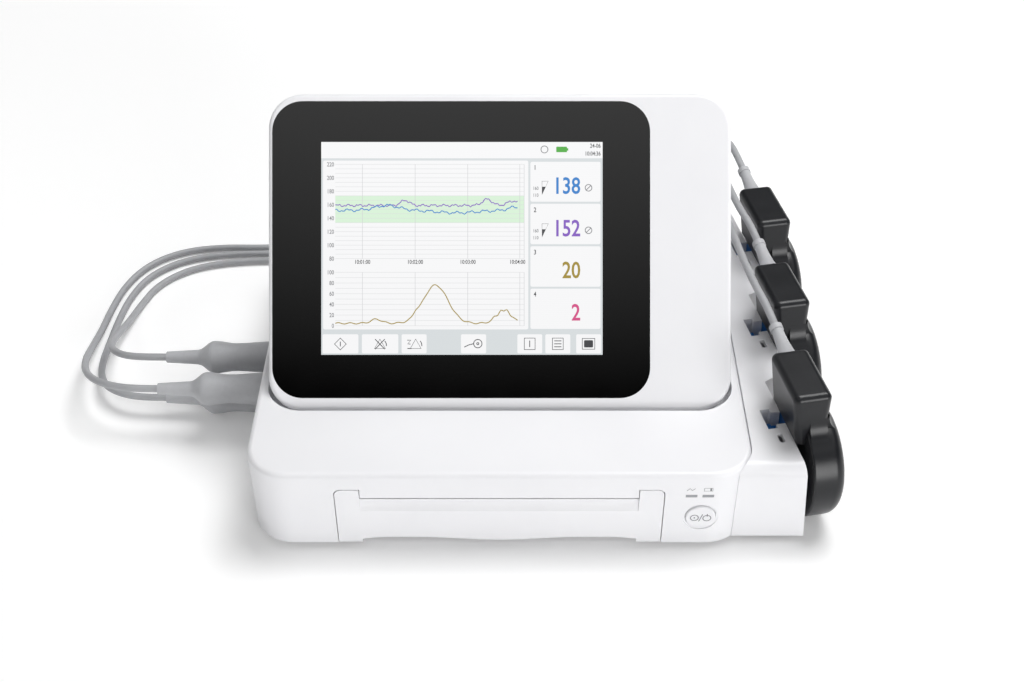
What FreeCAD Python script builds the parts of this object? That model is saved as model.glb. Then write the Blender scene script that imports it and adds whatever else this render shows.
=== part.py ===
import FreeCAD, Part
import math
import os

V = FreeCAD.Vector

# Fetal monitor, in millimetres, +Z up, front towards -Y.
# It is modelled with X = 0 on the base's middle, Y = 0 on its front face and Z = 0 on the table,
# and moved at the end so that the origin is the middle of the footprint, at table level.

# Clearances
RUN_GAP = 0.3
PIN_GAP = 0.05
SEAT_GAP = 0.02

# Base
BASE_W = 281.0
BASE_D = 256.0
BASE_TOP = 56.5
SIDE_LEDGE = 7.0
REAR_LEDGE = 8.4
FOOT_H = 3.0
FOOT_R = 8.0
FOOT_INSET = 30.0
FOOT_EDGE = 0.8
PLATE_T = 2.7
WALL = 2.6
FRONT_R = 24.0
REAR_R = 16.0
TOP_ROUND = 3.0

# Display
DISPLAY_T = 22.0
DISPLAY_SPLIT = 10.0
DISPLAY_R = 20.0
DISPLAY_FRONT_ROUND = 2.6
DISPLAY_REAR_ROUND = 8.0
DISPLAY_TILT = 40.0
DISPLAY_Y = 56.5
DISPLAY_SINK = 4.5
DISPLAY_WALL = 2.4
REAR_WALL = 5.4
DISPLAY_SCREW_SIDE = 15.0
DISPLAY_SCREW_LOW = 26.0
DISPLAY_SCREW_HIGH = 15.0
DISPLAY_SCREW_GRIP = 4.0
FRONT_POST_R = 3.4
REAR_POST_R = 4.2
VENT_COUNT = 13
VENT_PITCH = 8.0
VENT_W = 3.0
VENT_L = 18.0
VENT_DOWN = 44.0
GLASS_LEFT = 2.3
GLASS_RIGHT = 46.9
GLASS_BOTTOM = 7.5
GLASS_TOP = 4.4
GLASS_R = 17.5
GLASS_T = 2.0
GLASS_LEDGE = 2.0
LCD_SIDE = 20.9
LCD_END = 17.0
LCD_T = 6.0
LCD_RIGHT_SHIFT = 0.5
LCD_UP_SHIFT = 1.0

# Display hinge
HINGE_UP = 12.0
HINGE_BACK = 14.0
HINGE_R = 3.0
HINGE_EYE_R = 6.5
HINGE_X = 95.0
BRACKET_W = 12.0
BRACKET_FOOT_T = 2.0
BRACKET_FOOT_L = 18.0
LUG_LOW = 3.0
LUG_W = 10.0
NOTCH_GAP = 0.6

# Display well in the top of the base
WELL_GAP = 1.6
WELL_FRONT_GAP = 4.5
WELL_FRONT_R = 22.0
WELL_FLOOR_GAP = 0.9
TROUGH_GAP = 0.7
TROUGH_END_R = 4.0

# Paper drawer
DRAWER_MARGIN = 49.5
EAR_W = 13.5
EAR_TOP = 45.0
EAR_R = 4.0
SLOT_TOP = 39.0
SLOT_GAP = 2.4
DRAWER_BOTTOM = 3.6
WAVE_STEP = 1.6
WAVE_H = 2.6
DRAWER_GAP = 0.5
DRAWER_FRONT_T = 3.5
SCOOP_IN = 1.6
SCOOP_H = 8.0
TRAY_MARGIN = 6.0
TRAY_REAR = 102.5
TRAY_WALL = 2.0
TRAY_TOP = 28.0
TRAY_BACK_TOP = 22.0
CHEEK_TOP = 35.5
CHEEK_D = 22.0
RAIL_W = 3.0
RAIL_TOP = 16.0
RAIL_FRONT_Y = 12.0
STOP_GAP = 1.5
STOP_T = 3.0
WAVE = ((-1.0, 0.3), (-0.625, 1.0), (-0.3, 0.45), (0.0, 0.0), (0.3, 0.45), (0.625, 1.0), (1.0, 0.3))

# Printer
PLATEN_Y = 13.0
PLATEN_Z = 28.5
PLATEN_R = 7.0
PLATEN_SIDE = 7.0
SHAFT_R = 2.5
BUSH_R = 4.0
BUSH_FLANGE_R = 5.2
BUSH_FLANGE_T = 0.8
GEAR_MODULE = 0.8
PLATEN_TEETH = 18
IDLER_TEETH = 16
PINION_TEETH = 12
GEAR_T = 4.0
GEAR_GAP = 0.8
BACKLASH = 0.22
POST_R = 2.0
MOTOR_R = 9.0
MOTOR_L = 15.0
MOTOR_SHAFT_L = 6.0
MOTOR_EDGE = 1.2
MOTOR_SHAFT_R = 1.2
MOTOR_PLATE_T = 1.6
MOTOR_PLATE_UP = 12.0
MOTOR_FOOT_W = 10.0
MOTOR_FOOT_L = 8.0
SHAFT_END = 1.5
HEAD_SIDE = 10.0
HEAD_D = 18.0
HEAD_T = 5.0
HEAD_AHEAD = 6.0
HEAD_GAP = 0.4
HEAD_BEVEL = 1.5
FIN_COUNT = 15
FIN_W = 2.0
FIN_D = 10.0
FIN_H = 5.0
HANGER_SIDE = 15.0
HANGER_W = 12.0
HANGER_T = 3.0

# Power button and status lights
BUTTON_SIDE = 28.2
BUTTON_Z = 23.8
BUTTON_R = 8.4
BUTTON_DISH_R = 10.0
BUTTON_DISH = 0.8
BUTTON_PROUD = 0.6
BUTTON_TRAVEL = 1.0
BUTTON_L = 6.0
BUTTON_EDGE = 1.0
LIGHT_SIDES = (34.5, 25.3)
LIGHT_W = 6.4
LIGHT_H = 2.0
LIGHT_Z = 40.6
KEY_BOARD_T = 1.6
KEY_BOARD_LEFT = 14.0
KEY_BOARD_RIGHT = 8.0
SWITCH_W = 6.0
SWITCH_T = 1.6
SWITCH_GAP = 0.4
KEY_POST_W = 4.0
KEY_POST_H = 3.0
KEY_POST_GAP = 0.4
KEY_POST_X = (-9.0, 5.0)
KEY_PLUG_W = 10.0
KEY_PLUG_H = 5.0
KEY_PLUG_DOWN = 14.0

# Transducer holder
HOLDER_FRONT_Y = 5.0
HOLDER_REAR = 6.0
HOLDER_TUCK = 22.5
HOLDER_BOTTOM = 3.0
HOLDER_WALL = 2.6
HOLDER_LEAN = 4.2
HOLDER_FRONT_ROUND = 7.0
HOLDER_SEAM_R = 0.9
STATIONS = 3
STATION_PITCH = 82.0
STATION_FAN = 0.9
STATION_OUT = 27.9
STATION_Y = 42.5
STATION_YAW = 11.0
STATION_HALF = 36.5
FACET_X = -6.6
MARK_X = -13.0
MARK_Y = -10.5
MARK_L = 7.5
MARK_W = 3.2
MARK_DEEP = 4.0
MARK_R = 1.5

# Transducers, each in its station's own frame: x out, y back, z up
DISC_R = 34.0
DISC_IN = -2.0
DISC_OUT = 17.6
DISC_Y = -6.5
DISC_Z = 35.0
DISC_ROUND = 7.0
DISC_IN_ROUND = 1.0
DISC_WALL = 2.4
INNER_SHELL_T = 3.0
BLOCK_OUT = 10.0
BLOCK_IN = 12.5
BLOCK_LEAN = 5.5
BLOCK_FRONT = 19.0
BLOCK_REAR = 23.0
BLOCK_TOP = 92.0
BLOCK_BOTTOM = 57.5
BLOCK_R = 3.6
NECK_R = 14.0
STUD_Y = 5.5
STUD_Z = 45.0
STUD_FLANGE_R = 11.0
STUD_FLANGE_T = 3.6
STUD_FLANGE_ROOM = 0.6
STUD_PIN_R = 3.0
STUD_PIN_L = 2.0
STUD_EDGE = 1.2
STUD_STEM_R = 4.0
STUD_HEAD_R = 5.5
STUD_HEAD_T = 4.0
SLOT_SIDE = 1.0
POCKET_HALF = 8.0
HEAD_ROOM = 0.8
LIP_T = 5.4
LIP_GAP = 0.5
ELEMENT_R = 5.5
ELEMENT_T = 3.0
ELEMENT_ORBIT = 17.0
ELEMENT_COUNT = 6
CARRIER_T = 2.0
CARRIER_GAP = 1.0
RELIEF_Z = 83.5
RELIEF_R = 5.8
RELIEF_WAIST_R = 3.4
RELIEF_TIP_R = 3.9
RELIEF_L = 25.5
RELIEF_RISE = 10.0
RELIEF_ROOT = 2.0
RELIEF_COLLAR = 3.5
RELIEF_STEPS = 10

# Cables and plugs
CABLE_D = 4.5
FLOOR_Z = CABLE_D / 2 + 0.05
PLUG_Z = 33.0
PLUG_LOW_Z = 13.6
PLUG_REAR_Y = 126.5
PLUG_FRONT_Y = 97.0
PLUG_LOW_Y = 110.5
PLUG_R = 10.2
PLUG_FOOT_R = 9.8
PLUG_WAIST_R = 8.7
PLUG_BODY_L = 46.0
PLUG_WAIST_L = 22.0
PLUG_SWELL_L = 35.9
PLUG_SLEEVE_L = 19.5
PLUG_SLEEVE_R = 4.6
PLUG_TIP_R = 3.5
PLUG_EASE = 6
PLUG_SPIGOT_R = 4.0
PLUG_SPIGOT_L = 10.0
SOCKET_R = 5.0
SOCKET_L = 16.0
SOCKET_FLANGE_R = 9.4
SOCKET_FLANGE_T = 1.6
COIL_LAYERS = 4
COIL_LAYER_TURNS = 2.1875
COIL_PITCH = 5.0
COIL_RADIUS = 30.5
COIL_X = (-80.0, 0.0, 80.0)
COIL_Y = 324.0
LEAD_END = 15.0
COIL_LEAD = 12.0

# Inside the base
BOARD_T = 1.6
BOARD_Z = 12.0
BOARD_REAR = 11.0
BOARD_D = 67.0
BOARD_GAP = 2.0
CHIP_W = 30.0
CHIP_H = 2.0
COOLER_W = 24.0
COOLER_H = 8.0
MEMORY_X = 40.0
MEMORY_Y = 10.0
MEMORY_W = 20.0
MEMORY_D = 14.0
MEMORY_H = 2.5
HEADER_X = 45.0
HEADER_IN = 6.0
HEADER_W = 22.0
HEADER_D = 8.0
HEADER_H = 9.0
CAPACITOR_COUNT = 4
CAPACITOR_PITCH = 9.0
CAPACITOR_IN = 8.0
CAPACITOR_R = 3.5
CAPACITOR_H = 10.0
STANDOFF_R = 3.0
STANDOFF_INSET = 7.0
SCREW_R = 1.4
SCREW_HEAD_R = 3.0
SCREW_HEAD_H = 1.8
SCREW_L = 12.0
SCREW_SOCKET_R = 1.2
SCREW_SOCKET_L = 1.0
SCREW_FRONT_Y = 42.0
SCREW_REAR = 18.0
BOSS_R = 4.2
BOSS_BORE_R = 1.5
BOSS_TUCK = 0.8
SUPPLY_SIDE = 8.5
SUPPLY_W = 60.0
SUPPLY_D = 66.0
SUPPLY_REAR = 30.0
SUPPLY_FOOT = 5.0
SUPPLY_H = 18.0
WINDING_W = 24.0
WINDING_D = 26.0
CORE_W = 16.0
CORE_D = 34.0
CORE_H = 12.0
SINK_IN = 4.0
SINK_T = 3.0
SINK_L = 45.0
RESERVOIR_IN = 9.0
RESERVOIR_PITCH = 14.0
RESERVOIR_R = 5.0
CELL_R = 9.2
CELL_L = 65.0
CELL_COUNT = 2
CELL_Y = 66.0
WRAP_T = 0.4
SPEAKER_R = 20.0
SPEAKER_SIDE = 28.5
SPEAKER_REAR = 56.0
SPEAKER_RIM = 4.0
SPEAKER_RIM_T = 3.0
SPEAKER_CONE_H = 9.0
MAGNET_R = 12.0
MAGNET_H = 7.0
GRILLE_PITCH = 4.6
GRILLE_SLOT = 2.0
GRILLE_SIDE_SLOTS = 3
INLET_SIDE = 44.5
INLET_W = 27.0
INLET_H = 20.0
INLET_Z = 21.0
INLET_DEEP = 22.0
INLET_FLANGE = 3.0
INLET_FLANGE_T = 1.6
INLET_WALL = 1.5
INLET_FLOOR = 6.0
INLET_BEVEL = 3.0
INLET_PIN = 2.0
INLET_PIN_L = 12.0
INLET_PIN_X = 7.0
INLET_PIN_UP = 2.0

# Worked-out places
BASE_BOTTOM = FOOT_H
COVER_BOTTOM = BASE_BOTTOM + PLATE_T
BASE_HALF = BASE_W / 2
DISPLAY_W = BASE_W - 2 * SIDE_LEDGE
DISPLAY_Z = BASE_TOP - DISPLAY_SINK
TILT_TURN = 90.0 - DISPLAY_TILT
TURN = math.radians(TILT_TURN)
HINGE_Y = DISPLAY_Y + HINGE_UP * math.cos(TURN) + HINGE_BACK * math.sin(TURN)
HINGE_Z = DISPLAY_Z + HINGE_UP * math.sin(TURN) - HINGE_BACK * math.cos(TURN)
WELL_HALF = DISPLAY_W / 2 + WELL_GAP
WELL_END_Y = BASE_D - REAR_LEDGE
DISPLAY_H = WELL_END_Y - WELL_GAP - HINGE_Y + HINGE_UP
GLASS_W = DISPLAY_W - GLASS_LEFT - GLASS_RIGHT
GLASS_H = DISPLAY_H - GLASS_BOTTOM - GLASS_TOP
LCD_W = GLASS_W - 2 * LCD_SIDE
LCD_H = GLASS_H - 2 * LCD_END
FRONT_SWING = math.hypot(HINGE_UP, HINGE_BACK)
REAR_SWING = DISPLAY_REAR_ROUND + math.hypot(
    HINGE_UP - DISPLAY_REAR_ROUND, DISPLAY_T - DISPLAY_REAR_ROUND - HINGE_BACK,
)
WELL_FRONT_Y = HINGE_Y - FRONT_SWING - WELL_FRONT_GAP
WELL_FLOOR = HINGE_Z - (DISPLAY_T - HINGE_BACK) - WELL_FLOOR_GAP
TROUGH_FLOOR = HINGE_Z - REAR_SWING - TROUGH_GAP
TROUGH_END_Y = HINGE_Y + REAR_SWING + WELL_GAP
DRAWER_W = BASE_W - 2 * DRAWER_MARGIN
TRAY_W = DRAWER_W - 2 * TRAY_MARGIN
TRAY_END_Y = BASE_D - TRAY_REAR
TRAY_FLOOR = COVER_BOTTOM + RUN_GAP
TRAY_HALF = TRAY_W / 2
PLATEN_L = TRAY_W - 2 * PLATEN_SIDE
HEAD_W = TRAY_W - 2 * HEAD_SIDE
HANGER_X = HEAD_W / 2 - HANGER_SIDE
RAIL_X = TRAY_HALF + RUN_GAP
STOP_Y = TRAY_END_Y + STOP_GAP
BUTTON_X = BASE_HALF - BUTTON_SIDE
KEY_BOARD_Y = BUTTON_L - BUTTON_PROUD + BUTTON_TRAVEL + SWITCH_GAP + SWITCH_T
KEY_POST_Z = LIGHT_Z + LIGHT_H / 2 + KEY_POST_GAP
HOLDER_REAR_Y = BASE_D - HOLDER_REAR
STATION_X = BASE_HALF + STATION_OUT
POCKET_X = FACET_X - LIP_T
BLOCK_CORNER = BLOCK_R * (1 - math.sqrt(0.5))
POCKET_FLOOR = STUD_Z - STUD_HEAD_R - SLOT_SIDE
GEAR_X = TRAY_HALF + GEAR_GAP
PLATE_X = GEAR_X + GEAR_T + GEAR_GAP
CENTRES_1 = GEAR_MODULE * (PLATEN_TEETH + IDLER_TEETH) / 2
CENTRES_2 = GEAR_MODULE * (IDLER_TEETH + PINION_TEETH) / 2
IDLER_Y = PLATEN_Y + CENTRES_1
REAR_POST_L = DISPLAY_T - DISPLAY_SPLIT - DISPLAY_WALL / 2
PINION_Y = IDLER_Y + CENTRES_2


# Shapes

def box(x0, x1, y0, y1, z0, z1):
    return Part.makeBox(x1 - x0, y1 - y0, z1 - z0, V(x0, y0, z0))


def rod(start, axis, radius, length):
    return Part.makeCylinder(radius, length, V(*start), V(*axis))


def ring(start, axis, outer, inner, length):
    return rod(start, axis, outer, length).cut(rod(start, axis, inner, length))


def join(shapes):
    whole = shapes[0]
    for shape in shapes[1:]:
        whole = whole.fuse(shape)
    return whole.removeSplitter()


def remove(shape, cutters):
    for cutter in cutters:
        shape = shape.cut(cutter)
    return shape


def arc(centre, radius, start, end, z):
    """An arc in a level plane, from start to end in degrees."""
    points = []
    for part in (0.0, 0.5, 1.0):
        angle = math.radians(start + part * (end - start))
        points.append(V(centre[0] + radius * math.cos(angle), centre[1] + radius * math.sin(angle), z))
    return Part.Arc(*points).toShape()


def plan_wire(x0, x1, y0, y1, front_r, rear_r, z):
    """A rectangle with round corners, seen from above."""
    corners = [
        ((x1 - front_r, y0 + front_r), front_r, -90),
        ((x1 - rear_r, y1 - rear_r), rear_r, 0),
        ((x0 + rear_r, y1 - rear_r), rear_r, 90),
        ((x0 + front_r, y0 + front_r), front_r, 180),
    ]
    arcs = [arc(centre, radius, start, start + 90, z) for centre, radius, start in corners]
    edges = []
    for here, after in zip(arcs, arcs[1:] + arcs[:1]):
        edges.append(here)
        gap = after.valueAt(after.FirstParameter) - here.valueAt(here.LastParameter)
        if gap.Length > 0.001:
            start = here.valueAt(here.LastParameter)
            edges.append(Part.makeLine(start, after.valueAt(after.FirstParameter)))
    return Part.Wire(edges)


def plan(x0, x1, y0, y1, front_r, rear_r, z0, z1):
    face = Part.Face(plan_wire(x0, x1, y0, y1, front_r, rear_r, z0))
    return face.extrude(V(0, 0, z1 - z0))


def edges_at(shape, test):
    """The edges whose every sampled point passes the test."""
    chosen = []
    for edge in shape.Edges:
        points = edge.discretize(5)
        if all(test(p) for p in points):
            chosen.append(edge)
    return chosen


def revolve(profile, start, axis):
    """A solid turned about the axis, from (distance along it, radius) pairs."""
    points = [V(along, radius, 0) for along, radius in profile]
    points = [V(profile[0][0], 0, 0)] + points + [V(profile[-1][0], 0, 0)]
    face = Part.Face(Part.makePolygon(points + [points[0]]))
    solid = face.revolve(V(0, 0, 0), V(1, 0, 0), 360)
    turn = FreeCAD.Rotation(V(1, 0, 0), V(*axis))
    solid.Placement = FreeCAD.Placement(V(*start), turn)
    return Part.makeCompound([solid]).Solids[0]


def gear(teeth, thickness, bore_r, phase):
    """A spur gear on the X axis, with a tooth centred at the phase angle."""
    pitch_r = GEAR_MODULE * teeth / 2
    root_r = pitch_r - 1.25 * GEAR_MODULE
    tip_r = pitch_r + 0.9 * GEAR_MODULE
    half_tooth = (math.pi * GEAR_MODULE / 2 - BACKLASH) / 2
    flank = math.tan(math.radians(20))
    points = []
    for i in range(teeth):
        middle = math.radians(phase) + 2 * math.pi * i / teeth
        profile = [
            (root_r, -(half_tooth + (pitch_r - root_r) * flank)),
            (tip_r, -(half_tooth - (tip_r - pitch_r) * flank)),
            (tip_r, half_tooth - (tip_r - pitch_r) * flank),
            (root_r, half_tooth + (pitch_r - root_r) * flank),
        ]
        for radius, across in profile:
            angle = middle + across / radius
            points.append(V(0, radius * math.cos(angle), radius * math.sin(angle)))
    face = Part.Face(Part.makePolygon(points + [points[0]]))
    blank = face.extrude(V(thickness, 0, 0))
    return blank.cut(rod((0, 0, 0), (1, 0, 0), bore_r, thickness))


def in_display(shape):
    """From the display's own frame (x across, y up the screen, z out of it) to the part."""
    turned = shape.copy()
    turned.Placement = FreeCAD.Placement(V(0, DISPLAY_Y, DISPLAY_Z), FreeCAD.Rotation(V(1, 0, 0), TILT_TURN))
    return turned


def station_place(station):
    middle = V(STATION_X + station * STATION_FAN, STATION_Y + station * STATION_PITCH, 0)
    return FreeCAD.Placement(middle, FreeCAD.Rotation(V(0, 0, 1), STATION_YAW))


def in_station(shape, station):
    turned = shape.copy()
    turned.Placement = station_place(station).multiply(shape.Placement)
    return turned


# Base covers

def drawer_outline(gap, y0, y1):
    """The drawer's front seen from the front, grown by the gap, as a slab from y0 to y1."""
    half = DRAWER_W / 2 + gap
    ear = DRAWER_W / 2 - EAR_W - gap
    ear_top = EAR_TOP + gap
    middle_top = SLOT_TOP - SLOT_GAP + gap * SLOT_GAP / DRAWER_GAP
    low = DRAWER_BOTTOM - gap
    bulge = EAR_R * (1 - math.sqrt(0.5))
    ears = []
    for side in (-1, 1):
        outer = side * half
        inner = side * ear
        corner = V(outer - side * bulge, y0, ear_top - bulge)
        edges = [
            Part.makeLine(V(inner, y0, low), V(outer, y0, low)),
            Part.makeLine(V(outer, y0, low), V(outer, y0, ear_top - EAR_R)),
            Part.Arc(V(outer, y0, ear_top - EAR_R), corner, V(outer - side * EAR_R, y0, ear_top)).toShape(),
            Part.makeLine(V(outer - side * EAR_R, y0, ear_top), V(inner, y0, ear_top)),
            Part.makeLine(V(inner, y0, ear_top), V(inner, y0, low)),
        ]
        ears.append(Part.Face(Part.Wire(edges)).extrude(V(0, y1 - y0, 0)))
    return join([box(-ear, ear, y0, y1, low, middle_top)] + ears)


def screw_places():
    """The case screws: one near each corner."""
    side = BASE_HALF - WALL - BOSS_R + BOSS_TUCK
    return [(x, y) for x in (-side, side) for y in (SCREW_FRONT_Y, BASE_D - SCREW_REAR)]


def plugs():
    """The three plug places on the left side, as (y, z): rear, low and front."""
    return [(PLUG_REAR_Y, PLUG_Z), (PLUG_LOW_Y, PLUG_LOW_Z), (PLUG_FRONT_Y, PLUG_Z)]


def base_outline(z0, z1):
    return plan(-BASE_HALF, BASE_HALF, 0, BASE_D, FRONT_R, REAR_R, z0, z1)


def inlet_box(grow, y0, y1):
    half_w = INLET_W / 2 + grow
    half_h = INLET_H / 2 + grow
    middle = INLET_SIDE - BASE_HALF
    return box(middle - half_w, middle + half_w, y0, y1, INLET_Z - half_h, INLET_Z + half_h)


def light_box(side, gap, y0, y1):
    x = BASE_HALF - side
    half_w = LIGHT_W / 2 + gap
    half_h = LIGHT_H / 2 + gap
    return box(x - half_w, x + half_w, y0, y1, LIGHT_Z - half_h, LIGHT_Z + half_h)


def base_top_cover():
    outer = base_outline(COVER_BOTTOM, BASE_TOP)
    outer = outer.makeFillet(TOP_ROUND, edges_at(outer, lambda p: abs(p.z - BASE_TOP) < 0.01))
    inner = plan(
        -BASE_HALF + WALL, BASE_HALF - WALL, WALL, BASE_D - WALL, FRONT_R - WALL, REAR_R - WALL,
        COVER_BOTTOM - 1, BASE_TOP - WALL,
    )
    tub = box(
        -BASE_HALF, BASE_HALF, WELL_FRONT_Y - WALL, WELL_END_Y + WALL, WELL_FLOOR - WALL, BASE_TOP - WALL,
    )
    trough = box(
        -BASE_HALF, BASE_HALF, WELL_FRONT_Y - WALL, TROUGH_END_Y + WALL, TROUGH_FLOOR - WALL, WELL_FLOOR,
    )
    bosses = [
        rod((x, y, COVER_BOTTOM), (0, 0, 1), BOSS_R, BASE_TOP - WALL - COVER_BOTTOM)
        for x, y in screw_places()
    ]
    posts = []
    for x in KEY_POST_X:
        left = BUTTON_X + x - KEY_POST_W / 2
        posts.append(
            box(left, left + KEY_POST_W, WALL / 2, KEY_BOARD_Y, KEY_POST_Z, KEY_POST_Z + KEY_POST_H)
        )
    cover = join([outer.cut(inner), tub.common(outer), trough.common(outer)] + bosses + posts)
    well = plan(
        -WELL_HALF, WELL_HALF, WELL_FRONT_Y, WELL_END_Y, WELL_FRONT_R, DISPLAY_R + WELL_GAP,
        WELL_FLOOR, BASE_TOP + 1,
    )
    deep = plan(
        -WELL_HALF, WELL_HALF, WELL_FRONT_Y, TROUGH_END_Y, WELL_FRONT_R, TROUGH_END_R,
        TROUGH_FLOOR, WELL_FLOOR + 1,
    )
    cutters = [well, deep, drawer_outline(DRAWER_GAP, -1, WALL + 1)]
    cutters += [light_box(side, SEAT_GAP, -1, WALL + 1) for side in LIGHT_SIDES]
    cutters.append(rod((BUTTON_X, -1, BUTTON_Z), (0, 1, 0), BUTTON_R + RUN_GAP, WALL + 2))
    cutters.append(rod((BUTTON_X, -1, BUTTON_Z), (0, 1, 0), BUTTON_DISH_R, 1 + BUTTON_DISH))
    for y, z in plugs():
        cutters.append(rod((-BASE_HALF - 1, y, z), (1, 0, 0), SOCKET_R + SEAT_GAP, WALL + 2))
    cutters.append(inlet_box(0, BASE_D - WALL - 1, BASE_D + 1))
    for x, y in screw_places():
        cutters.append(rod((x, y, COVER_BOTTOM), (0, 0, 1), BOSS_BORE_R, SCREW_L))
    return remove(cover, cutters)


def speaker_place():
    return BASE_HALF - SPEAKER_SIDE, BASE_D - SPEAKER_REAR


def main_board_span():
    """The main board's sides, between the power supply and the loudspeaker, and its front and rear."""
    left = -BASE_HALF + SUPPLY_SIDE + SUPPLY_W + BOARD_GAP
    right = speaker_place()[0] - SPEAKER_R - BOARD_GAP
    rear = BASE_D - BOARD_REAR
    return left, right, rear - BOARD_D, rear


def standoffs():
    """Where the main board stands on the lower cover."""
    left, right, front, rear = main_board_span()
    inset = STANDOFF_INSET
    return [(x, y) for x in (left + inset, right - inset) for y in (front + inset, rear - inset)]


def base_bottom_cover():
    plate = base_outline(BASE_BOTTOM, COVER_BOTTOM)
    rear = STOP_Y + STOP_T
    rails = [
        box(-RAIL_X - RAIL_W, -RAIL_X, RAIL_FRONT_Y, rear, COVER_BOTTOM, RAIL_TOP),
        box(RAIL_X, RAIL_X + RAIL_W, RAIL_FRONT_Y, rear, COVER_BOTTOM, RAIL_TOP),
        box(-RAIL_X, RAIL_X, STOP_Y, rear, COVER_BOTTOM, RAIL_TOP),
    ]
    posts = [rod((x, y, COVER_BOTTOM), (0, 0, 1), STANDOFF_R, BOARD_Z - COVER_BOTTOM) for x, y in standoffs()]
    cover = join([plate] + rails + posts)
    front = DRAWER_W / 2 + DRAWER_GAP
    cutters = [box(-front, front, -1, DRAWER_FRONT_T + DRAWER_GAP, BASE_BOTTOM - 1, COVER_BOTTOM + 1)]
    for x, y in screw_places():
        cutters.append(rod((x, y, BASE_BOTTOM - 1), (0, 0, 1), BOSS_BORE_R, PLATE_T + 2))
        cutters.append(rod((x, y, BASE_BOTTOM - 1), (0, 0, 1), SCREW_HEAD_R + RUN_GAP, 1 + SCREW_HEAD_H))
    x, y = speaker_place()
    for i in range(-GRILLE_SIDE_SLOTS, GRILLE_SIDE_SLOTS + 1):
        across = i * GRILLE_PITCH
        half = math.sqrt((SPEAKER_R - SPEAKER_RIM) ** 2 - across ** 2)
        left = x + across - GRILLE_SLOT / 2
        cutters.append(box(left, left + GRILLE_SLOT, y - half, y + half, BASE_BOTTOM - 1, COVER_BOTTOM + 1))
    return remove(cover, cutters)


def rubber_feet():
    feet = []
    for x in (-BASE_HALF + FOOT_INSET, BASE_HALF - FOOT_INSET):
        for y in (FOOT_INSET, BASE_D - FOOT_INSET):
            foot = rod((x, y, 0), (0, 0, 1), FOOT_R, FOOT_H)
            feet.append(foot.makeFillet(FOOT_EDGE, edges_at(foot, lambda p: abs(p.z) < 0.01)))
    return feet


def screw(x, y, z, length):
    """A socket-head screw standing on its head."""
    head = rod((x, y, z), (0, 0, 1), SCREW_HEAD_R, SCREW_HEAD_H)
    shank = rod((x, y, z), (0, 0, 1), SCREW_R, length)
    return join([head, shank]).cut(rod((x, y, z), (0, 0, 1), SCREW_SOCKET_R, SCREW_SOCKET_L))


def case_screws():
    return [screw(x, y, BASE_BOTTOM, SCREW_L) for x, y in screw_places()]


# Power button, lights and key board

def power_button():
    body = rod((BUTTON_X, -BUTTON_PROUD, BUTTON_Z), (0, 1, 0), BUTTON_R, BUTTON_L)
    return body.makeFillet(BUTTON_EDGE, edges_at(body, lambda p: abs(p.y + BUTTON_PROUD) < 0.01))


def status_light_pipes():
    outline = base_outline(BASE_BOTTOM, BASE_TOP)
    return [light_box(side, 0, 0, KEY_BOARD_Y).common(outline) for side in LIGHT_SIDES]


def front_key_board():
    y = KEY_BOARD_Y
    top = KEY_POST_Z + KEY_POST_H
    board = box(BUTTON_X - KEY_BOARD_LEFT, BUTTON_X + KEY_BOARD_RIGHT, y, y + KEY_BOARD_T, COVER_BOTTOM, top)
    half = SWITCH_W / 2
    switch = box(BUTTON_X - half, BUTTON_X + half, y - SWITCH_T, y, BUTTON_Z - half, BUTTON_Z + half)
    low = BUTTON_Z - KEY_PLUG_DOWN
    back = y + KEY_BOARD_T
    plug = box(BUTTON_X - KEY_PLUG_W, BUTTON_X, back, back + KEY_PLUG_H, low, low + KEY_PLUG_H)
    return join([board, switch, plug])


# Paper drawer and printer

def paper_drawer():
    ear = DRAWER_W / 2 - EAR_W
    scoop_r = (SCOOP_H ** 2 + SCOOP_IN ** 2) / (2 * SCOOP_IN)
    scoop = rod((-ear, SCOOP_IN - scoop_r, SLOT_TOP - SLOT_GAP), (1, 0, 0), scoop_r, 2 * ear)
    low = DRAWER_BOTTOM - 1
    points = [V(x * ear, -1, DRAWER_BOTTOM + WAVE_STEP + WAVE_H * up) for x, up in WAVE]
    crest = Part.BSplineCurve()
    crest.interpolate(points)
    left, right = V(-ear, -1, low), V(ear, -1, low)
    sides = [Part.makeLine(points[-1], right), Part.makeLine(right, left), Part.makeLine(left, points[0])]
    wave = Part.Face(Part.Wire([crest.toShape()] + sides)).extrude(V(0, DRAWER_FRONT_T + 2, 0))
    front = remove(drawer_outline(0, 0, DRAWER_FRONT_T), [scoop, wave])
    inner = TRAY_HALF - TRAY_WALL
    pieces = [
        front,
        box(-TRAY_HALF, TRAY_HALF, DRAWER_FRONT_T, TRAY_END_Y, TRAY_FLOOR, TRAY_FLOOR + TRAY_WALL),
        box(-TRAY_HALF, TRAY_HALF, TRAY_END_Y - TRAY_WALL, TRAY_END_Y, TRAY_FLOOR, TRAY_BACK_TOP),
    ]
    for x0, x1 in ((-TRAY_HALF, -inner), (inner, TRAY_HALF)):
        pieces.append(box(x0, x1, DRAWER_FRONT_T, TRAY_END_Y, TRAY_FLOOR, TRAY_TOP))
        pieces.append(box(x0, x1, DRAWER_FRONT_T, DRAWER_FRONT_T + CHEEK_D, TRAY_FLOOR, CHEEK_TOP))
    bore = rod((-TRAY_HALF - 1, PLATEN_Y, PLATEN_Z), (1, 0, 0), BUSH_R + SEAT_GAP, TRAY_W + 2)
    return join(pieces).cut(bore)


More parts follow.
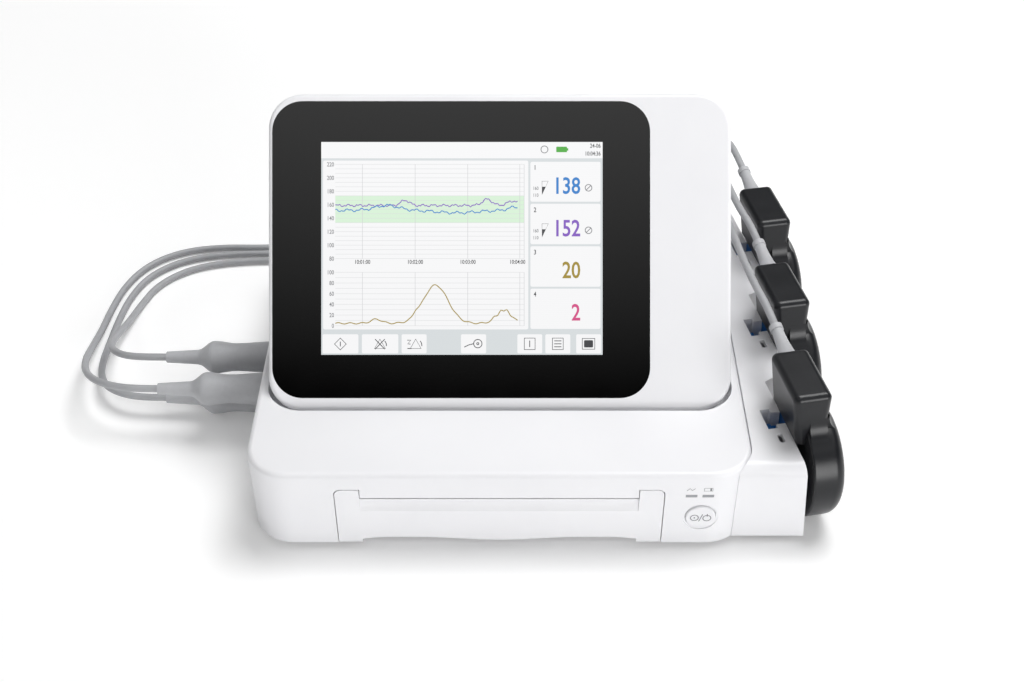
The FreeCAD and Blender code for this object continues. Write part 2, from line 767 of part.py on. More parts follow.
def platen_bushes():
    bushes = []
    for side in (-1, 1):
        inside = side * (TRAY_HALF - TRAY_WALL)
        barrel = ring((inside, PLATEN_Y, PLATEN_Z), (side, 0, 0), BUSH_R, SHAFT_R + PIN_GAP, TRAY_WALL)
        start = (inside - side * BUSH_FLANGE_T, PLATEN_Y, PLATEN_Z)
        flange = ring(start, (side, 0, 0), BUSH_FLANGE_R, SHAFT_R + PIN_GAP, BUSH_FLANGE_T)
        bushes.append(join([barrel, flange]))
    return bushes


def platen_roller():
    start = (-PLATEN_L / 2, PLATEN_Y, PLATEN_Z)
    return ring(start, (1, 0, 0), PLATEN_R, SHAFT_R + SEAT_GAP, PLATEN_L)


def platen_shaft():
    start = -TRAY_HALF - SHAFT_END
    return rod((start, PLATEN_Y, PLATEN_Z), (1, 0, 0), SHAFT_R, GEAR_X + GEAR_T - start)


def platen_gear():
    wheel = gear(PLATEN_TEETH, GEAR_T, SHAFT_R + SEAT_GAP, 0)
    wheel.translate(V(GEAR_X, PLATEN_Y, PLATEN_Z))
    return wheel


def idler_phase():
    """The angle of one of the idler's teeth, with a gap towards the platen gear's tooth."""
    return 180 + 180 / IDLER_TEETH


def idler_gear():
    wheel = gear(IDLER_TEETH, GEAR_T, POST_R + PIN_GAP, idler_phase())
    wheel.translate(V(GEAR_X, IDLER_Y, PLATEN_Z))
    return wheel


def motor_pinion():
    phase = 180 + 180 / PINION_TEETH - idler_phase() * IDLER_TEETH / PINION_TEETH
    wheel = gear(PINION_TEETH, GEAR_T, MOTOR_SHAFT_R / 2, phase)
    length = PLATE_X - GEAR_X + MOTOR_PLATE_T + MOTOR_SHAFT_L
    shaft = rod((0, 0, 0), (1, 0, 0), MOTOR_SHAFT_R, length)
    pinion = join([wheel, shaft])
    pinion.translate(V(GEAR_X, PINION_Y, PLATEN_Z))
    return pinion


def drive_motor():
    front = IDLER_Y - POST_R - MOTOR_PLATE_T
    rear = PINION_Y + MOTOR_R
    back = PLATE_X + MOTOR_PLATE_T
    plate = box(PLATE_X, back, front, rear, COVER_BOTTOM, PLATEN_Z + MOTOR_PLATE_UP)
    foot = box(
        PLATE_X, PLATE_X + MOTOR_FOOT_W, rear - MOTOR_FOOT_L, rear, COVER_BOTTOM, COVER_BOTTOM + MOTOR_PLATE_T,
    )
    post_x = GEAR_X - GEAR_GAP / 2
    post = rod((post_x, IDLER_Y, PLATEN_Z), (1, 0, 0), POST_R, PLATE_X - post_x)
    can = rod((back, PINION_Y, PLATEN_Z), (1, 0, 0), MOTOR_R, MOTOR_L)
    can = can.makeFillet(MOTOR_EDGE, edges_at(can, lambda p: p.x > back + MOTOR_L - 0.01))
    body = join([plate, foot, post, can])
    room = MOTOR_PLATE_T + MOTOR_SHAFT_L + MOTOR_PLATE_T
    return body.cut(rod((PLATE_X, PINION_Y, PLATEN_Z), (1, 0, 0), MOTOR_SHAFT_R + PIN_GAP, room))


def print_head():
    low = PLATEN_Z + PLATEN_R + HEAD_GAP
    front = PLATEN_Y - HEAD_AHEAD
    rear = front + HEAD_D
    bar = box(-HEAD_W / 2, HEAD_W / 2, front, rear, low, low + HEAD_T)
    bar = bar.makeChamfer(HEAD_BEVEL, edges_at(bar, lambda p: p.y < front + 0.01 and p.z < low + 0.01))
    top = low + HEAD_T
    pieces = [bar]
    for i in range(FIN_COUNT):
        middle = (i + 1) * HEAD_W / (FIN_COUNT + 1) - HEAD_W / 2
        left = middle - FIN_W / 2
        pieces.append(box(left, left + FIN_W, rear - HANGER_T - FIN_D, rear - HANGER_T, top, top + FIN_H))
    for x in (-HANGER_X, HANGER_X):
        left = x - HANGER_W / 2
        pieces.append(box(left, left + HANGER_W, rear - HANGER_T, rear, low, BASE_TOP - WALL))
    return join(pieces)


# Display

def display_slab(inset, back, front):
    """A slab of the display's outline in its own frame, between two depths."""
    radius = DISPLAY_R - inset
    half = DISPLAY_W / 2 - inset
    return plan(-half, half, inset, DISPLAY_H - inset, radius, radius, -back, -front)


def glass_slab(gap, back, front):
    left = -DISPLAY_W / 2 + GLASS_LEFT
    radius = GLASS_R + gap
    return plan(
        left - gap, left + GLASS_W + gap, GLASS_BOTTOM - gap, GLASS_BOTTOM + GLASS_H + gap,
        radius, radius, -back, -front,
    )


def lcd_slab(gap, back, front):
    middle_x = -DISPLAY_W / 2 + GLASS_LEFT + GLASS_W / 2 + LCD_RIGHT_SHIFT
    middle_y = GLASS_BOTTOM + GLASS_H / 2 + LCD_UP_SHIFT
    half_w = LCD_W / 2 + gap
    half_h = LCD_H / 2 + gap
    return box(middle_x - half_w, middle_x + half_w, middle_y - half_h, middle_y + half_h, -back, -front)


def hinge_notches():
    """Room in the housing for the two brackets over the whole tilt."""
    reach = HINGE_EYE_R + NOTCH_GAP
    half = BRACKET_W / 2 + NOTCH_GAP
    return [
        box(x - half, x + half, -1, HINGE_UP + reach, -DISPLAY_T - 1, -HINGE_BACK + reach)
        for x in (-HINGE_X, HINGE_X)
    ]


def display_screw_places():
    side = DISPLAY_W / 2 - DISPLAY_SCREW_SIDE
    return [(x, y) for x in (-side, side) for y in (DISPLAY_SCREW_LOW, DISPLAY_H - DISPLAY_SCREW_HIGH)]


def display_front_bezel():
    shell = display_slab(0, DISPLAY_SPLIT, 0)
    shell = shell.makeFillet(DISPLAY_FRONT_ROUND, edges_at(shell, lambda p: abs(p.z) < 0.01))
    face = GLASS_T + GLASS_LEDGE
    shell = shell.cut(display_slab(DISPLAY_WALL, DISPLAY_SPLIT + 1, face))
    posts = [
        rod((x, y, -DISPLAY_SPLIT), (0, 0, 1), FRONT_POST_R, DISPLAY_SPLIT - face)
        for x, y in display_screw_places()
    ]
    shell = join([shell] + posts)
    cutters = [glass_slab(SEAT_GAP, GLASS_T, -1), lcd_slab(SEAT_GAP, face + 1, 0)]
    for x, y in display_screw_places():
        cutters.append(rod((x, y, -DISPLAY_SPLIT), (0, 0, 1), BOSS_BORE_R, DISPLAY_SCREW_GRIP + 1))
    return remove(shell, cutters + hinge_notches())


def display_rear_cover():
    shell = display_slab(0, DISPLAY_T, DISPLAY_SPLIT)
    shell = shell.makeFillet(DISPLAY_REAR_ROUND, edges_at(shell, lambda p: abs(p.z + DISPLAY_T) < 0.01))
    inside = display_slab(REAR_WALL, DISPLAY_T - DISPLAY_WALL, DISPLAY_SPLIT - 1)
    pieces = [shell.cut(inside)]
    for x in (-HINGE_X, HINGE_X):
        inner = BRACKET_W / 2 + NOTCH_GAP
        for left in (x - inner - LUG_W, x + inner):
            lug = box(
                left, left + LUG_W, LUG_LOW, HINGE_UP + HINGE_EYE_R,
                -DISPLAY_T + DISPLAY_WALL / 2, -DISPLAY_SPLIT,
            )
            pieces.append(lug)
    for x, y in display_screw_places():
        pieces.append(rod((x, y, -DISPLAY_T + DISPLAY_WALL / 2), (0, 0, 1), REAR_POST_R, REAR_POST_L))
    cutters = [
        rod((x - HINGE_X / 2, HINGE_UP, -HINGE_BACK), (1, 0, 0), HINGE_R + SEAT_GAP, HINGE_X)
        for x in (-HINGE_X, HINGE_X)
    ]
    for x, y in display_screw_places():
        cutters.append(rod((x, y, -DISPLAY_T - 1), (0, 0, 1), BOSS_BORE_R, DISPLAY_T))
        cutters.append(rod((x, y, -DISPLAY_T - 1), (0, 0, 1), SCREW_HEAD_R + RUN_GAP, 1 + SCREW_HEAD_H))
    for i in range(VENT_COUNT):
        left = (i - (VENT_COUNT - 1) / 2) * VENT_PITCH - VENT_W / 2
        low = DISPLAY_H - VENT_DOWN
        back = -DISPLAY_T - 1
        cutters.append(box(left, left + VENT_W, low, low + VENT_L, back, back + DISPLAY_WALL + 2))
    return remove(join(pieces), cutters + hinge_notches())


def display_screws():
    length = DISPLAY_T - DISPLAY_SPLIT + DISPLAY_SCREW_GRIP
    return [screw(x, y, -DISPLAY_T, length) for x, y in display_screw_places()]


def hinge_shafts():
    length = BRACKET_W + 2 * (NOTCH_GAP + LUG_W)
    return [
        rod((x - length / 2, HINGE_UP, -HINGE_BACK), (1, 0, 0), HINGE_R, length) for x in (-HINGE_X, HINGE_X)
    ]


def hinge_brackets():
    brackets = []
    for x in (-HINGE_X, HINGE_X):
        left = x - BRACKET_W / 2
        right = left + BRACKET_W
        half = BRACKET_FOOT_L / 2
        foot = box(left, right, HINGE_Y - half, HINGE_Y + half, TROUGH_FLOOR, TROUGH_FLOOR + BRACKET_FOOT_T)
        neck = box(left, right, HINGE_Y - HINGE_EYE_R, HINGE_Y + HINGE_EYE_R, TROUGH_FLOOR, HINGE_Z)
        eye = rod((left, HINGE_Y, HINGE_Z), (1, 0, 0), HINGE_EYE_R, BRACKET_W)
        bore = rod((left, HINGE_Y, HINGE_Z), (1, 0, 0), HINGE_R + PIN_GAP, BRACKET_W)
        brackets.append(join([foot, neck, eye]).cut(bore))
    return brackets


# Transducer holder

def holder_solid(inset, z0, z1):
    """A prism with slanted stations down its right side, leaning outwards to the bottom."""
    def outline(z):
        lean = HOLDER_LEAN * (BASE_TOP - z) / (BASE_TOP - HOLDER_BOTTOM) - inset
        front = HOLDER_FRONT_Y + inset
        rear = HOLDER_REAR_Y - inset
        slant = math.tan(math.radians(STATION_YAW))
        points = [V(BASE_HALF - HOLDER_TUCK, front, z)]
        for station in range(STATIONS):
            facet = station_place(station).multVec(V(FACET_X, 0, 0))
            half = STATION_HALF * math.cos(math.radians(STATION_YAW))
            ahead = front if station == 0 else facet.y - half + inset
            behind = rear if station == STATIONS - 1 else facet.y + half + inset
            for y in (ahead, behind):
                points.append(V(facet.x - (y - facet.y) * slant + lean, y, z))
        points.append(V(BASE_HALF - HOLDER_TUCK, rear, z))
        return Part.makePolygon(points + [points[0]])

    return Part.makeLoft([outline(z0), outline(z1)], True, True)


def slot_box(x0, x1, half, low):
    """Room above the given height, centred on the belt stud, in the station's frame."""
    return box(x0, x1, STUD_Y - half, STUD_Y + half, low, BASE_TOP + 1)


def station_house():
    """The walls round a station's slot."""
    half = POCKET_HALF + HOLDER_WALL
    left = POCKET_X - STUD_HEAD_T - 2 * HEAD_ROOM - HOLDER_WALL
    return box(
        left, FACET_X + HOLDER_LEAN, STUD_Y - half, STUD_Y + half, POCKET_FLOOR - HOLDER_WALL,
        BASE_TOP - HOLDER_WALL / 2,
    )


def station_cutters():
    """The slot for the belt stud's head, its stem and its flange, and the mark beside it."""
    right = FACET_X + HOLDER_LEAN + 1
    pocket = slot_box(
        POCKET_X - STUD_HEAD_T - 2 * HEAD_ROOM, POCKET_X, POCKET_HALF, POCKET_FLOOR,
    )
    stem = slot_box(POCKET_X - 1, right, STUD_STEM_R + SLOT_SIDE, STUD_Z - STUD_STEM_R - RUN_GAP)
    flange_low = STUD_Z - STUD_FLANGE_R - SLOT_SIDE
    flange_x = DISC_IN - STUD_FLANGE_T - STUD_FLANGE_ROOM
    flange = slot_box(flange_x, right, STUD_FLANGE_R + SLOT_SIDE, flange_low)
    mark = box(
        MARK_X - MARK_W / 2, MARK_X + MARK_W / 2, MARK_Y - MARK_L / 2, MARK_Y + MARK_L / 2,
        BASE_TOP - MARK_DEEP, BASE_TOP + 1,
    )
    upright = [edge for edge in mark.Edges if abs(edge.tangentAt(edge.FirstParameter).z) > 0.9]
    return [pocket, stem, flange, mark.makeFillet(MARK_R, upright)]


def transducer_holder():
    outer = holder_solid(0, HOLDER_BOTTOM, BASE_TOP)
    front_top = edges_at(
        outer, lambda p: abs(p.z - BASE_TOP) < 0.01 and abs(p.y - HOLDER_FRONT_Y) < 0.01,
    )
    outer = outer.makeFillet(HOLDER_FRONT_ROUND, front_top)
    inner = holder_solid(HOLDER_WALL, HOLDER_BOTTOM - 1, BASE_TOP - HOLDER_WALL)
    skin = plan(
        -BASE_HALF, BASE_HALF + HOLDER_WALL, -HOLDER_WALL, BASE_D + HOLDER_WALL,
        FRONT_R + HOLDER_WALL, REAR_R + HOLDER_WALL, HOLDER_BOTTOM, BASE_TOP,
    )
    pieces = [outer.cut(inner), skin.common(outer)]
    seam_x = BASE_HALF - FRONT_R + math.sqrt(FRONT_R ** 2 - (FRONT_R - HOLDER_FRONT_Y) ** 2)
    seam = rod((seam_x, HOLDER_FRONT_Y, 0), (0, 0, 1), HOLDER_SEAM_R, BASE_TOP + 1)
    cutters = [base_outline(0, BASE_TOP + 1), seam]
    for station in range(STATIONS):
        pieces.append(in_station(station_house(), station).common(outer))
        cutters += [in_station(cutter, station) for cutter in station_cutters()]
    return remove(join(pieces), cutters)


# Transducers

def cable_block():
    """The block on the disc, with its inner side leaning out over the holder."""
    front = -BLOCK_FRONT
    points = [
        V(BLOCK_LEAN - BLOCK_IN, front, BLOCK_BOTTOM), V(BLOCK_OUT, front, BLOCK_BOTTOM),
        V(BLOCK_OUT, front, BLOCK_TOP), V(-BLOCK_IN, front, BLOCK_TOP),
    ]
    block = Part.Face(Part.makePolygon(points + points[:1])).extrude(V(0, BLOCK_REAR + BLOCK_FRONT, 0))
    rounded = [edge for edge in block.Edges if edge.BoundBox.ZMax > BLOCK_BOTTOM + BLOCK_R]
    return block.makeFillet(BLOCK_R, rounded)


def neck_profile(centre, start, end, corner):
    """A hollow arc about the centre, filled back to the corner."""
    bulge = ((start + end) * 0.5 - centre).normalize()
    arc_edge = Part.Arc(start, centre + bulge * NECK_R, end).toShape()
    return Part.Face(Part.Wire([arc_edge, Part.makeLine(end, corner), Part.makeLine(corner, start)]))


def front_neck():
    """The hollow that leads the block's front into the disc's rim."""
    face = -BLOCK_FRONT
    ahead = face - NECK_R - DISC_Y
    up = math.sqrt((DISC_R + NECK_R) ** 2 - ahead ** 2)
    share = DISC_R / (DISC_R + NECK_R)
    left = DISC_IN + DISC_IN_ROUND
    end = V(left, DISC_Y + ahead * share, DISC_Z + up * share)
    profile = neck_profile(
        V(left, face - NECK_R, DISC_Z + up), V(left, face, DISC_Z + up), end, V(left, face + BLOCK_R, end.z),
    )
    return profile.extrude(V(BLOCK_OUT - BLOCK_CORNER - left, 0, 0))


def outer_neck():
    """The hollow that leads the block's outer face into the disc's rounded edge."""
    rim = DISC_OUT - DISC_ROUND
    out = BLOCK_OUT + NECK_R - rim
    up = math.sqrt((DISC_ROUND + NECK_R) ** 2 - out ** 2)
    share = DISC_ROUND / (DISC_ROUND + NECK_R)
    root = DISC_Z + DISC_R - DISC_ROUND
    end = V(rim + out * share, DISC_Y, root + up * share)
    profile = neck_profile(
        V(BLOCK_OUT + NECK_R, DISC_Y, root + up), V(BLOCK_OUT, DISC_Y, root + up), end,
        V(BLOCK_OUT - BLOCK_R, DISC_Y, end.z),
    )
    turned = profile.revolve(V(0, DISC_Y, DISC_Z), V(1, 0, 0), 360)
    front = BLOCK_CORNER - BLOCK_FRONT
    rear = BLOCK_REAR - BLOCK_CORNER
    return turned.common(box(0, DISC_OUT, front, rear, BLOCK_BOTTOM, BLOCK_TOP))


def transducer_solid():
    """Disc and cable block, whole, in the station's frame."""
    disc = rod((DISC_IN, DISC_Y, DISC_Z), (1, 0, 0), DISC_R, DISC_OUT - DISC_IN)
    disc = disc.makeFillet(DISC_ROUND, edges_at(disc, lambda p: p.x > DISC_OUT - 0.01))
    disc = disc.makeFillet(DISC_IN_ROUND, edges_at(disc, lambda p: p.x < DISC_IN + 0.01))
    return join([disc, cable_block(), front_neck(), outer_neck()])


def disc_room(x0, x1, radius):
    return rod((x0, DISC_Y, DISC_Z), (1, 0, 0), radius, x1 - x0)


def inner_shell_room():
    """The disc's inner side up to the seam, below the cable block."""
    seam = DISC_IN + INNER_SHELL_T
    room = disc_room(DISC_IN - 1, seam, DISC_R + 1)
    half = DISC_R + 2
    low = DISC_Z - half
    return room.common(box(DISC_IN - 1, seam, DISC_Y - half, DISC_Y + half, low, BLOCK_BOTTOM))


def transducer_inner_shell():
    face = transducer_solid().common(inner_shell_room())
    return face.cut(rod((DISC_IN - 1, STUD_Y, STUD_Z), (1, 0, 0), STUD_PIN_R + SEAT_GAP, INNER_SHELL_T + 2))


def transducer_outer_shell():
    room = disc_room(DISC_IN + INNER_SHELL_T, DISC_OUT - DISC_WALL, DISC_R - DISC_ROUND + DISC_WALL)
    return remove(transducer_solid(), [inner_shell_room(), room])


def transducer_belt_stud():
    flange_in = DISC_IN - STUD_FLANGE_T
    head_out = POCKET_X - LIP_GAP
    head_in = head_out - STUD_HEAD_T
    flange = rod((flange_in, STUD_Y, STUD_Z), (1, 0, 0), STUD_FLANGE_R, STUD_FLANGE_T)
    stem = rod((head_out, STUD_Y, STUD_Z), (1, 0, 0), STUD_STEM_R, flange_in - head_out)
    head = rod((head_in, STUD_Y, STUD_Z), (1, 0, 0), STUD_HEAD_R, STUD_HEAD_T)
    head = head.makeFillet(STUD_EDGE, edges_at(head, lambda p: p.x < head_in + 0.01))
    pin = rod((DISC_IN, STUD_Y, STUD_Z), (1, 0, 0), STUD_PIN_R, STUD_PIN_L)
    return join([flange, stem, head, pin])


def transducer_sensor_elements():
    """Round elements, one in the middle and a ring, on a carrier against the outer face."""
    back = DISC_OUT - DISC_WALL
    front = back - CARRIER_T
    carrier = disc_room(front, back, DISC_R - DISC_ROUND + DISC_WALL - CARRIER_GAP)
    elements = [disc_room(front - ELEMENT_T, front, ELEMENT_R)]
    for i in range(ELEMENT_COUNT):
        angle = 2 * math.pi * i / ELEMENT_COUNT
        element = disc_room(front - ELEMENT_T, front, ELEMENT_R)
        element.translate(V(0, ELEMENT_ORBIT * math.cos(angle), ELEMENT_ORBIT * math.sin(angle)))
        elements.append(element)
    return join([carrier] + elements)


def relief_axis():
    rise = math.radians(RELIEF_RISE)
    return V(0, math.cos(rise), math.sin(rise))


def transducer_strain_relief():
    """A trumpet that narrows from the block to its waist, with a collar at its tip."""
    axis = relief_axis()
    start = V(0, BLOCK_REAR, RELIEF_Z) - axis * RELIEF_ROOT
    collar = RELIEF_ROOT + RELIEF_L - RELIEF_COLLAR
    profile = [(0.0, RELIEF_R)]
    for i in range(RELIEF_STEPS + 1):
        share = i / RELIEF_STEPS
        radius = RELIEF_WAIST_R + (RELIEF_R - RELIEF_WAIST_R) * (1 - share) ** 2
        profile.append((RELIEF_ROOT + (collar - RELIEF_ROOT) * share, radius))
    profile += [(collar, RELIEF_TIP_R), (RELIEF_ROOT + RELIEF_L, RELIEF_TIP_R)]
    return revolve(profile, tuple(start), tuple(axis)).cut(transducer_solid())


# Plugs and sockets on the left side

def plug_sockets():
    sockets = []
    for y, z in plugs():
        flange_x = -BASE_HALF - SOCKET_FLANGE_T
        flange = rod((flange_x, y, z), (1, 0, 0), SOCKET_FLANGE_R, SOCKET_FLANGE_T)
        barrel = rod((-BASE_HALF, y, z), (1, 0, 0), SOCKET_R, SOCKET_L)
        bore = rod((flange_x, y, z), (1, 0, 0), PLUG_SPIGOT_R + SEAT_GAP, PLUG_SPIGOT_L + 1)
        sockets.append(join([flange, barrel]).cut(bore))
    return sockets


def eased(points):
    """The outline with eased points between the given ones, so that it swells and narrows smoothly."""
    outline = []
    for (here, r0), (after, r1) in zip(points, points[1:]):
        for i in range(PLUG_EASE):
            share = i / PLUG_EASE
            outline.append((here + (after - here) * share, r0 + (r1 - r0) * share * share * (3 - 2 * share)))
    return outline + points[-1:]


def cable_plug(number):
    y, z = plugs()[number]
    body = PLUG_BODY_L
    grip = eased([
        (0, PLUG_FOOT_R), (PLUG_WAIST_L, PLUG_WAIST_R), (PLUG_SWELL_L, PLUG_R), (body, PLUG_SLEEVE_R),
    ])
    profile = [(-PLUG_SPIGOT_L, PLUG_SPIGOT_R), (0, PLUG_SPIGOT_R)] + grip
    profile.append((body + PLUG_SLEEVE_L, PLUG_TIP_R))
    return revolve(profile, (-BASE_HALF - SOCKET_FLANGE_T, y, z), (-1, 0, 0))


# Cables

def bend_radii(points):
    """The bend radius at each inner point of a route."""
    radii = []
    for before, here, after in zip(points, points[1:], points[2:]):
        run_in = here - before
        run_out = after - here
        turn = run_in.getAngle(run_out)
        radii.append(0.45 * min(run_in.Length, run_out.Length) / math.tan(turn / 2))
    return radii


def route_tube(name, points):
    """A tube along straight runs joined by the largest tangent arcs that they allow."""
    points = [V(*p) for p in points]
    radii = bend_radii(points)
    edges = []
    start = points[0]
    for before, here, after, radius in zip(points, points[1:], points[2:], radii):
        way_in = (here - before).normalize()
        way_out = (after - here).normalize()
        turn = way_in.getAngle(way_out)
        reach = radius * math.tan(turn / 2)
        first = here - way_in * reach
        last = here + way_out * reach
        inward = (way_out - way_in).normalize()
        middle = here + inward * (radius / math.cos(turn / 2) - radius)
        edges.append(Part.LineSegment(start, first).toShape())
        edges.append(Part.Arc(first, middle, last).toShape())
        start = last
    edges.append(Part.LineSegment(start, points[-1]).toShape())
    path = Part.Wire(edges)
    section = Part.Wire([Part.Circle(points[0], points[1] - points[0], CABLE_D / 2).toShape()])
    tube = path.makePipeShell([section], True, False)
    ideal = math.pi * CABLE_D ** 2 / 4 * path.Length
    runs = [(b - a).Length for a, b in zip(points, points[1:])]
    print(f"{name}: {path.Length:.0f} mm, volume {tube.Volume / ideal:.4f} of section times length")
    print("  radii", *[f"{radius:.0f}" for radius in radii])
    print("  runs", *[f"{run:.0f}" for run in runs])
    return tube


def coil_angles():
    """Where the layers and the climbs between them end, in radians from the coil's start."""
    marks = []
    angle = 0.0
    for layer in range(COIL_LAYERS):
        angle += 2 * math.pi * COIL_LAYER_TURNS
        marks.append(angle)
        if layer < COIL_LAYERS - 1:
            angle += math.pi
            marks.append(angle)
    return marks


def coil_point(angle):
    """The coil's line, wound clockwise from its left side, in and out again, layer on layer."""
    rate = COIL_PITCH / (2 * math.pi)
    radius = COIL_RADIUS
    height = 0.0
    way = -1
    last = 0.0
    for i, mark in enumerate(coil_angles()):
        here = min(angle, mark) - last
        if i % 2 == 0:
            radius += way * rate * here
        else:
            share = here / math.pi
            radius += way * rate * here * (1 - share)
            height += COIL_PITCH * share * share * (3 - 2 * share)
            way = -way
        if angle <= mark:
            break
        last = mark
    turn = math.pi - angle
    return V(radius * math.cos(turn), radius * math.sin(turn), height)


def coil_tangent(angle):
    step = 0.0005
    before = max(angle - step, 0.0)
    after = min(angle + step, coil_angles()[-1])
    return (coil_point(after) - coil_point(before)).normalize()


def arc_from(start, tangent, end):
    """The arc that leaves start along the tangent and ends at end."""
    chord = end - start
    across = chord - tangent * chord.dot(tangent)
    across.normalize()
    radius = chord.dot(chord) / (2 * chord.dot(across))
    centre = start + across * radius
    bulge = ((start + end) * 0.5 - centre).normalize()
    return Part.Arc(start, centre + bulge * radius, end).toShape()


def biarc(p0, t0, p1, t1):
    """Two arcs that leave p0 along t0, meet smoothly and reach p1 along t1."""
    chord = p1 - p0
    a = 2 * (1 - t0.dot(t1))
    b = 2 * chord.dot(t0 + t1)
    c = -chord.dot(chord)
    reach = (-b + math.sqrt(b * b - 4 * a * c)) / (2 * a)
    joint = (p0 + t0 * reach + p1 - t1 * reach) * 0.5
    return [arc_from(p0, t0, joint), arc_from(p1, t1 * -1, joint)]


def coil_gap():
    """The least gap between the coil's turns, measured on points half a turn apart or more."""
    end = coil_angles()[-1]
    count = 900
    points = [coil_point(end * i / count) for i in range(count + 1)]
    apart = int(count * math.pi / end)
    least = COIL_RADIUS
    for i, point in enumerate(points):
        for other in points[i + apart:]:
            least = min(least, point.distanceToPoint(other))
    return least - CABLE_D


def coil_middle(number):
    return V(COIL_X[number], COIL_Y, FLOOR_Z)


def coil_start(number):
    """The start of the straight piece that leads into the coil."""
    return coil_middle(number) + coil_point(0.0) - coil_tangent(0.0) * CABLE_D


def coil_end(number):
    """The end of the straight piece that leads out of the coil."""
    end = coil_angles()[-1]
    return coil_middle(number) + coil_point(end) + coil_tangent(end) * CABLE_D


def cable_coil(number):
    middle = coil_middle(number)
    end = coil_angles()[-1]
    stops = [0.0]
    for mark in coil_angles():
        start = stops[-1]
        parts = round((mark - start) / (math.pi / 2))
        stops += [start + (mark - start) * (i + 1) / parts for i in range(parts)]
    edges = [Part.LineSegment(coil_start(number), middle + coil_point(0.0)).toShape()]
    for here, after in zip(stops, stops[1:]):
        edges += biarc(
            middle + coil_point(here), coil_tangent(here), middle + coil_point(after), coil_tangent(after),
        )
    edges.append(Part.LineSegment(middle + coil_point(end), coil_end(number)).toShape())
    path = Part.Wire(Part.__sortEdges__(edges))
    section = Part.Wire([Part.Circle(coil_start(number), coil_tangent(0.0), CABLE_D / 2).toShape()])
    tube = path.makePipeShell([section], True, False)
    ideal = math.pi * CABLE_D ** 2 / 4 * path.Length
    print(f"coil {number}: {path.Length:.0f} mm, volume {tube.Volume / ideal:.4f} of section times length")
    return tube


# Each plug's cable lies on the table round the left rear corner and reaches its coil from the front.
# Plug 0 (rear) feeds coil 2, plug 1 (low) feeds coil 1 and plug 2 (front) feeds coil 0.
PLUG_ROUTES = (
    (
        (-236, 130.5, 31), (-246, 141, 26.5), (-250.5, 155, 20.5), (-251.5, 173, 13), (-249.5, 195, 6),
        (-246.5, 217, 2.6), (-239, 240, FLOOR_Z), (-220, 258, FLOOR_Z), (-192, 266.5, FLOOR_Z),
        (-150, 268.5, FLOOR_Z), (-98, 267.5, FLOOR_Z), (-48, 269.5, FLOOR_Z), (-8, 276, FLOOR_Z),
        (21.5, 284.9, FLOOR_Z), (34.7, 289.7, FLOOR_Z), (44.2, 298, FLOOR_Z),
    ),
    (
        (-237, 114.5, 13), (-249, 123.5, 11.5), (-255.5, 137, 9), (-258.5, 155, 6), (-259, 177, 3.2),
        (-258.5, 202, FLOOR_Z), (-255.5, 227, FLOOR_Z), (-247, 250, FLOOR_Z), (-228, 267, FLOOR_Z),
        (-201, 275, FLOOR_Z), (-160, 276.5, FLOOR_Z), (-118, 275.5, FLOOR_Z), (-86, 278, FLOOR_Z),
        (-58.5, 284.9, FLOOR_Z), (-45.3, 289.7, FLOOR_Z), (-35.8, 298, FLOOR_Z),
    ),
    (
        (-238, 101, 32), (-251, 110, 29), (-260, 124, 24), (-265, 142, 17.5), (-267, 163, 10),
        (-267, 187, 3.8), (-266, 212, FLOOR_Z), (-262, 238, FLOOR_Z), (-251.5, 261, FLOOR_Z),
        (-232, 277, FLOOR_Z), (-206, 283.5, FLOOR_Z), (-172, 283, FLOOR_Z), (-138.5, 284.9, FLOOR_Z),
        (-125.3, 289.7, FLOOR_Z), (-115.8, 298, FLOOR_Z),
    ),
)

# Each transducer's cable runs back over the holder, falls to the table and reaches its coil from the rear.
# Transducer 0 (front) comes from coil 2, 1 from coil 1 and 2 (rear) from coil 0.
TRANSDUCER_ROUTES = (
    (
        (151.6, 121, 92.4), (147.4, 146, 93.2), (145, 172, 91.8), (143.6, 198, 87.6), (143, 223, 79.6),
        (143.6, 246, 67.2), (145.4, 266, 50), (147.8, 283, 31), (150.4, 301, 14), (152.4, 321, 3.6),
        (153, 340, FLOOR_Z), (149, 353.5, FLOOR_Z), (140, 362.5, 2.6), (127, 366, 5), (111.5, 362.5, 11),
    ),
    (
        (151.6, 203, 92.4), (147.4, 228, 93.2), (146.6, 252, 88), (148.4, 272, 74.5), (151.6, 288, 55.5),
        (155, 302, 35), (158.2, 316, 16.5), (160.8, 333, 4.6), (161, 348, FLOOR_Z), (156.5, 360, FLOOR_Z),
        (147, 369.5, FLOOR_Z), (132, 375, FLOOR_Z), (110, 375, FLOOR_Z), (84, 372.5, FLOOR_Z),
        (58, 368, 4.5), (36, 361.5, 11),
    ),
    (
        (154.8, 284, 90.6), (155.6, 300, 81), (158, 313, 63.5), (161.4, 325, 42.5), (165, 338, 21.5),
        (168, 353, 6), (169, 369, FLOOR_Z), (163.5, 380.5, FLOOR_Z), (152.5, 387.5, FLOOR_Z),
        (135.5, 389, FLOOR_Z), (108, 387.5, FLOOR_Z), (70, 384.5, FLOOR_Z), (32, 382, FLOOR_Z),
        (0, 378, FLOOR_Z), (-23, 371.5, 4.5), (-44, 363, 11),
    ),
)


def plug_lead(number):
    coil = STATIONS - 1 - number
    y, z = plugs()[number]
    tip = V(-BASE_HALF - SOCKET_FLANGE_T - PLUG_BODY_L - PLUG_SLEEVE_L, y, z)
    end = coil_start(coil)
    last = end - coil_tangent(0.0) * COIL_LEAD
    points = [tip, tip - V(LEAD_END, 0, 0)] + list(PLUG_ROUTES[number]) + [last, end]
    return route_tube(f"plug lead {number}", points)


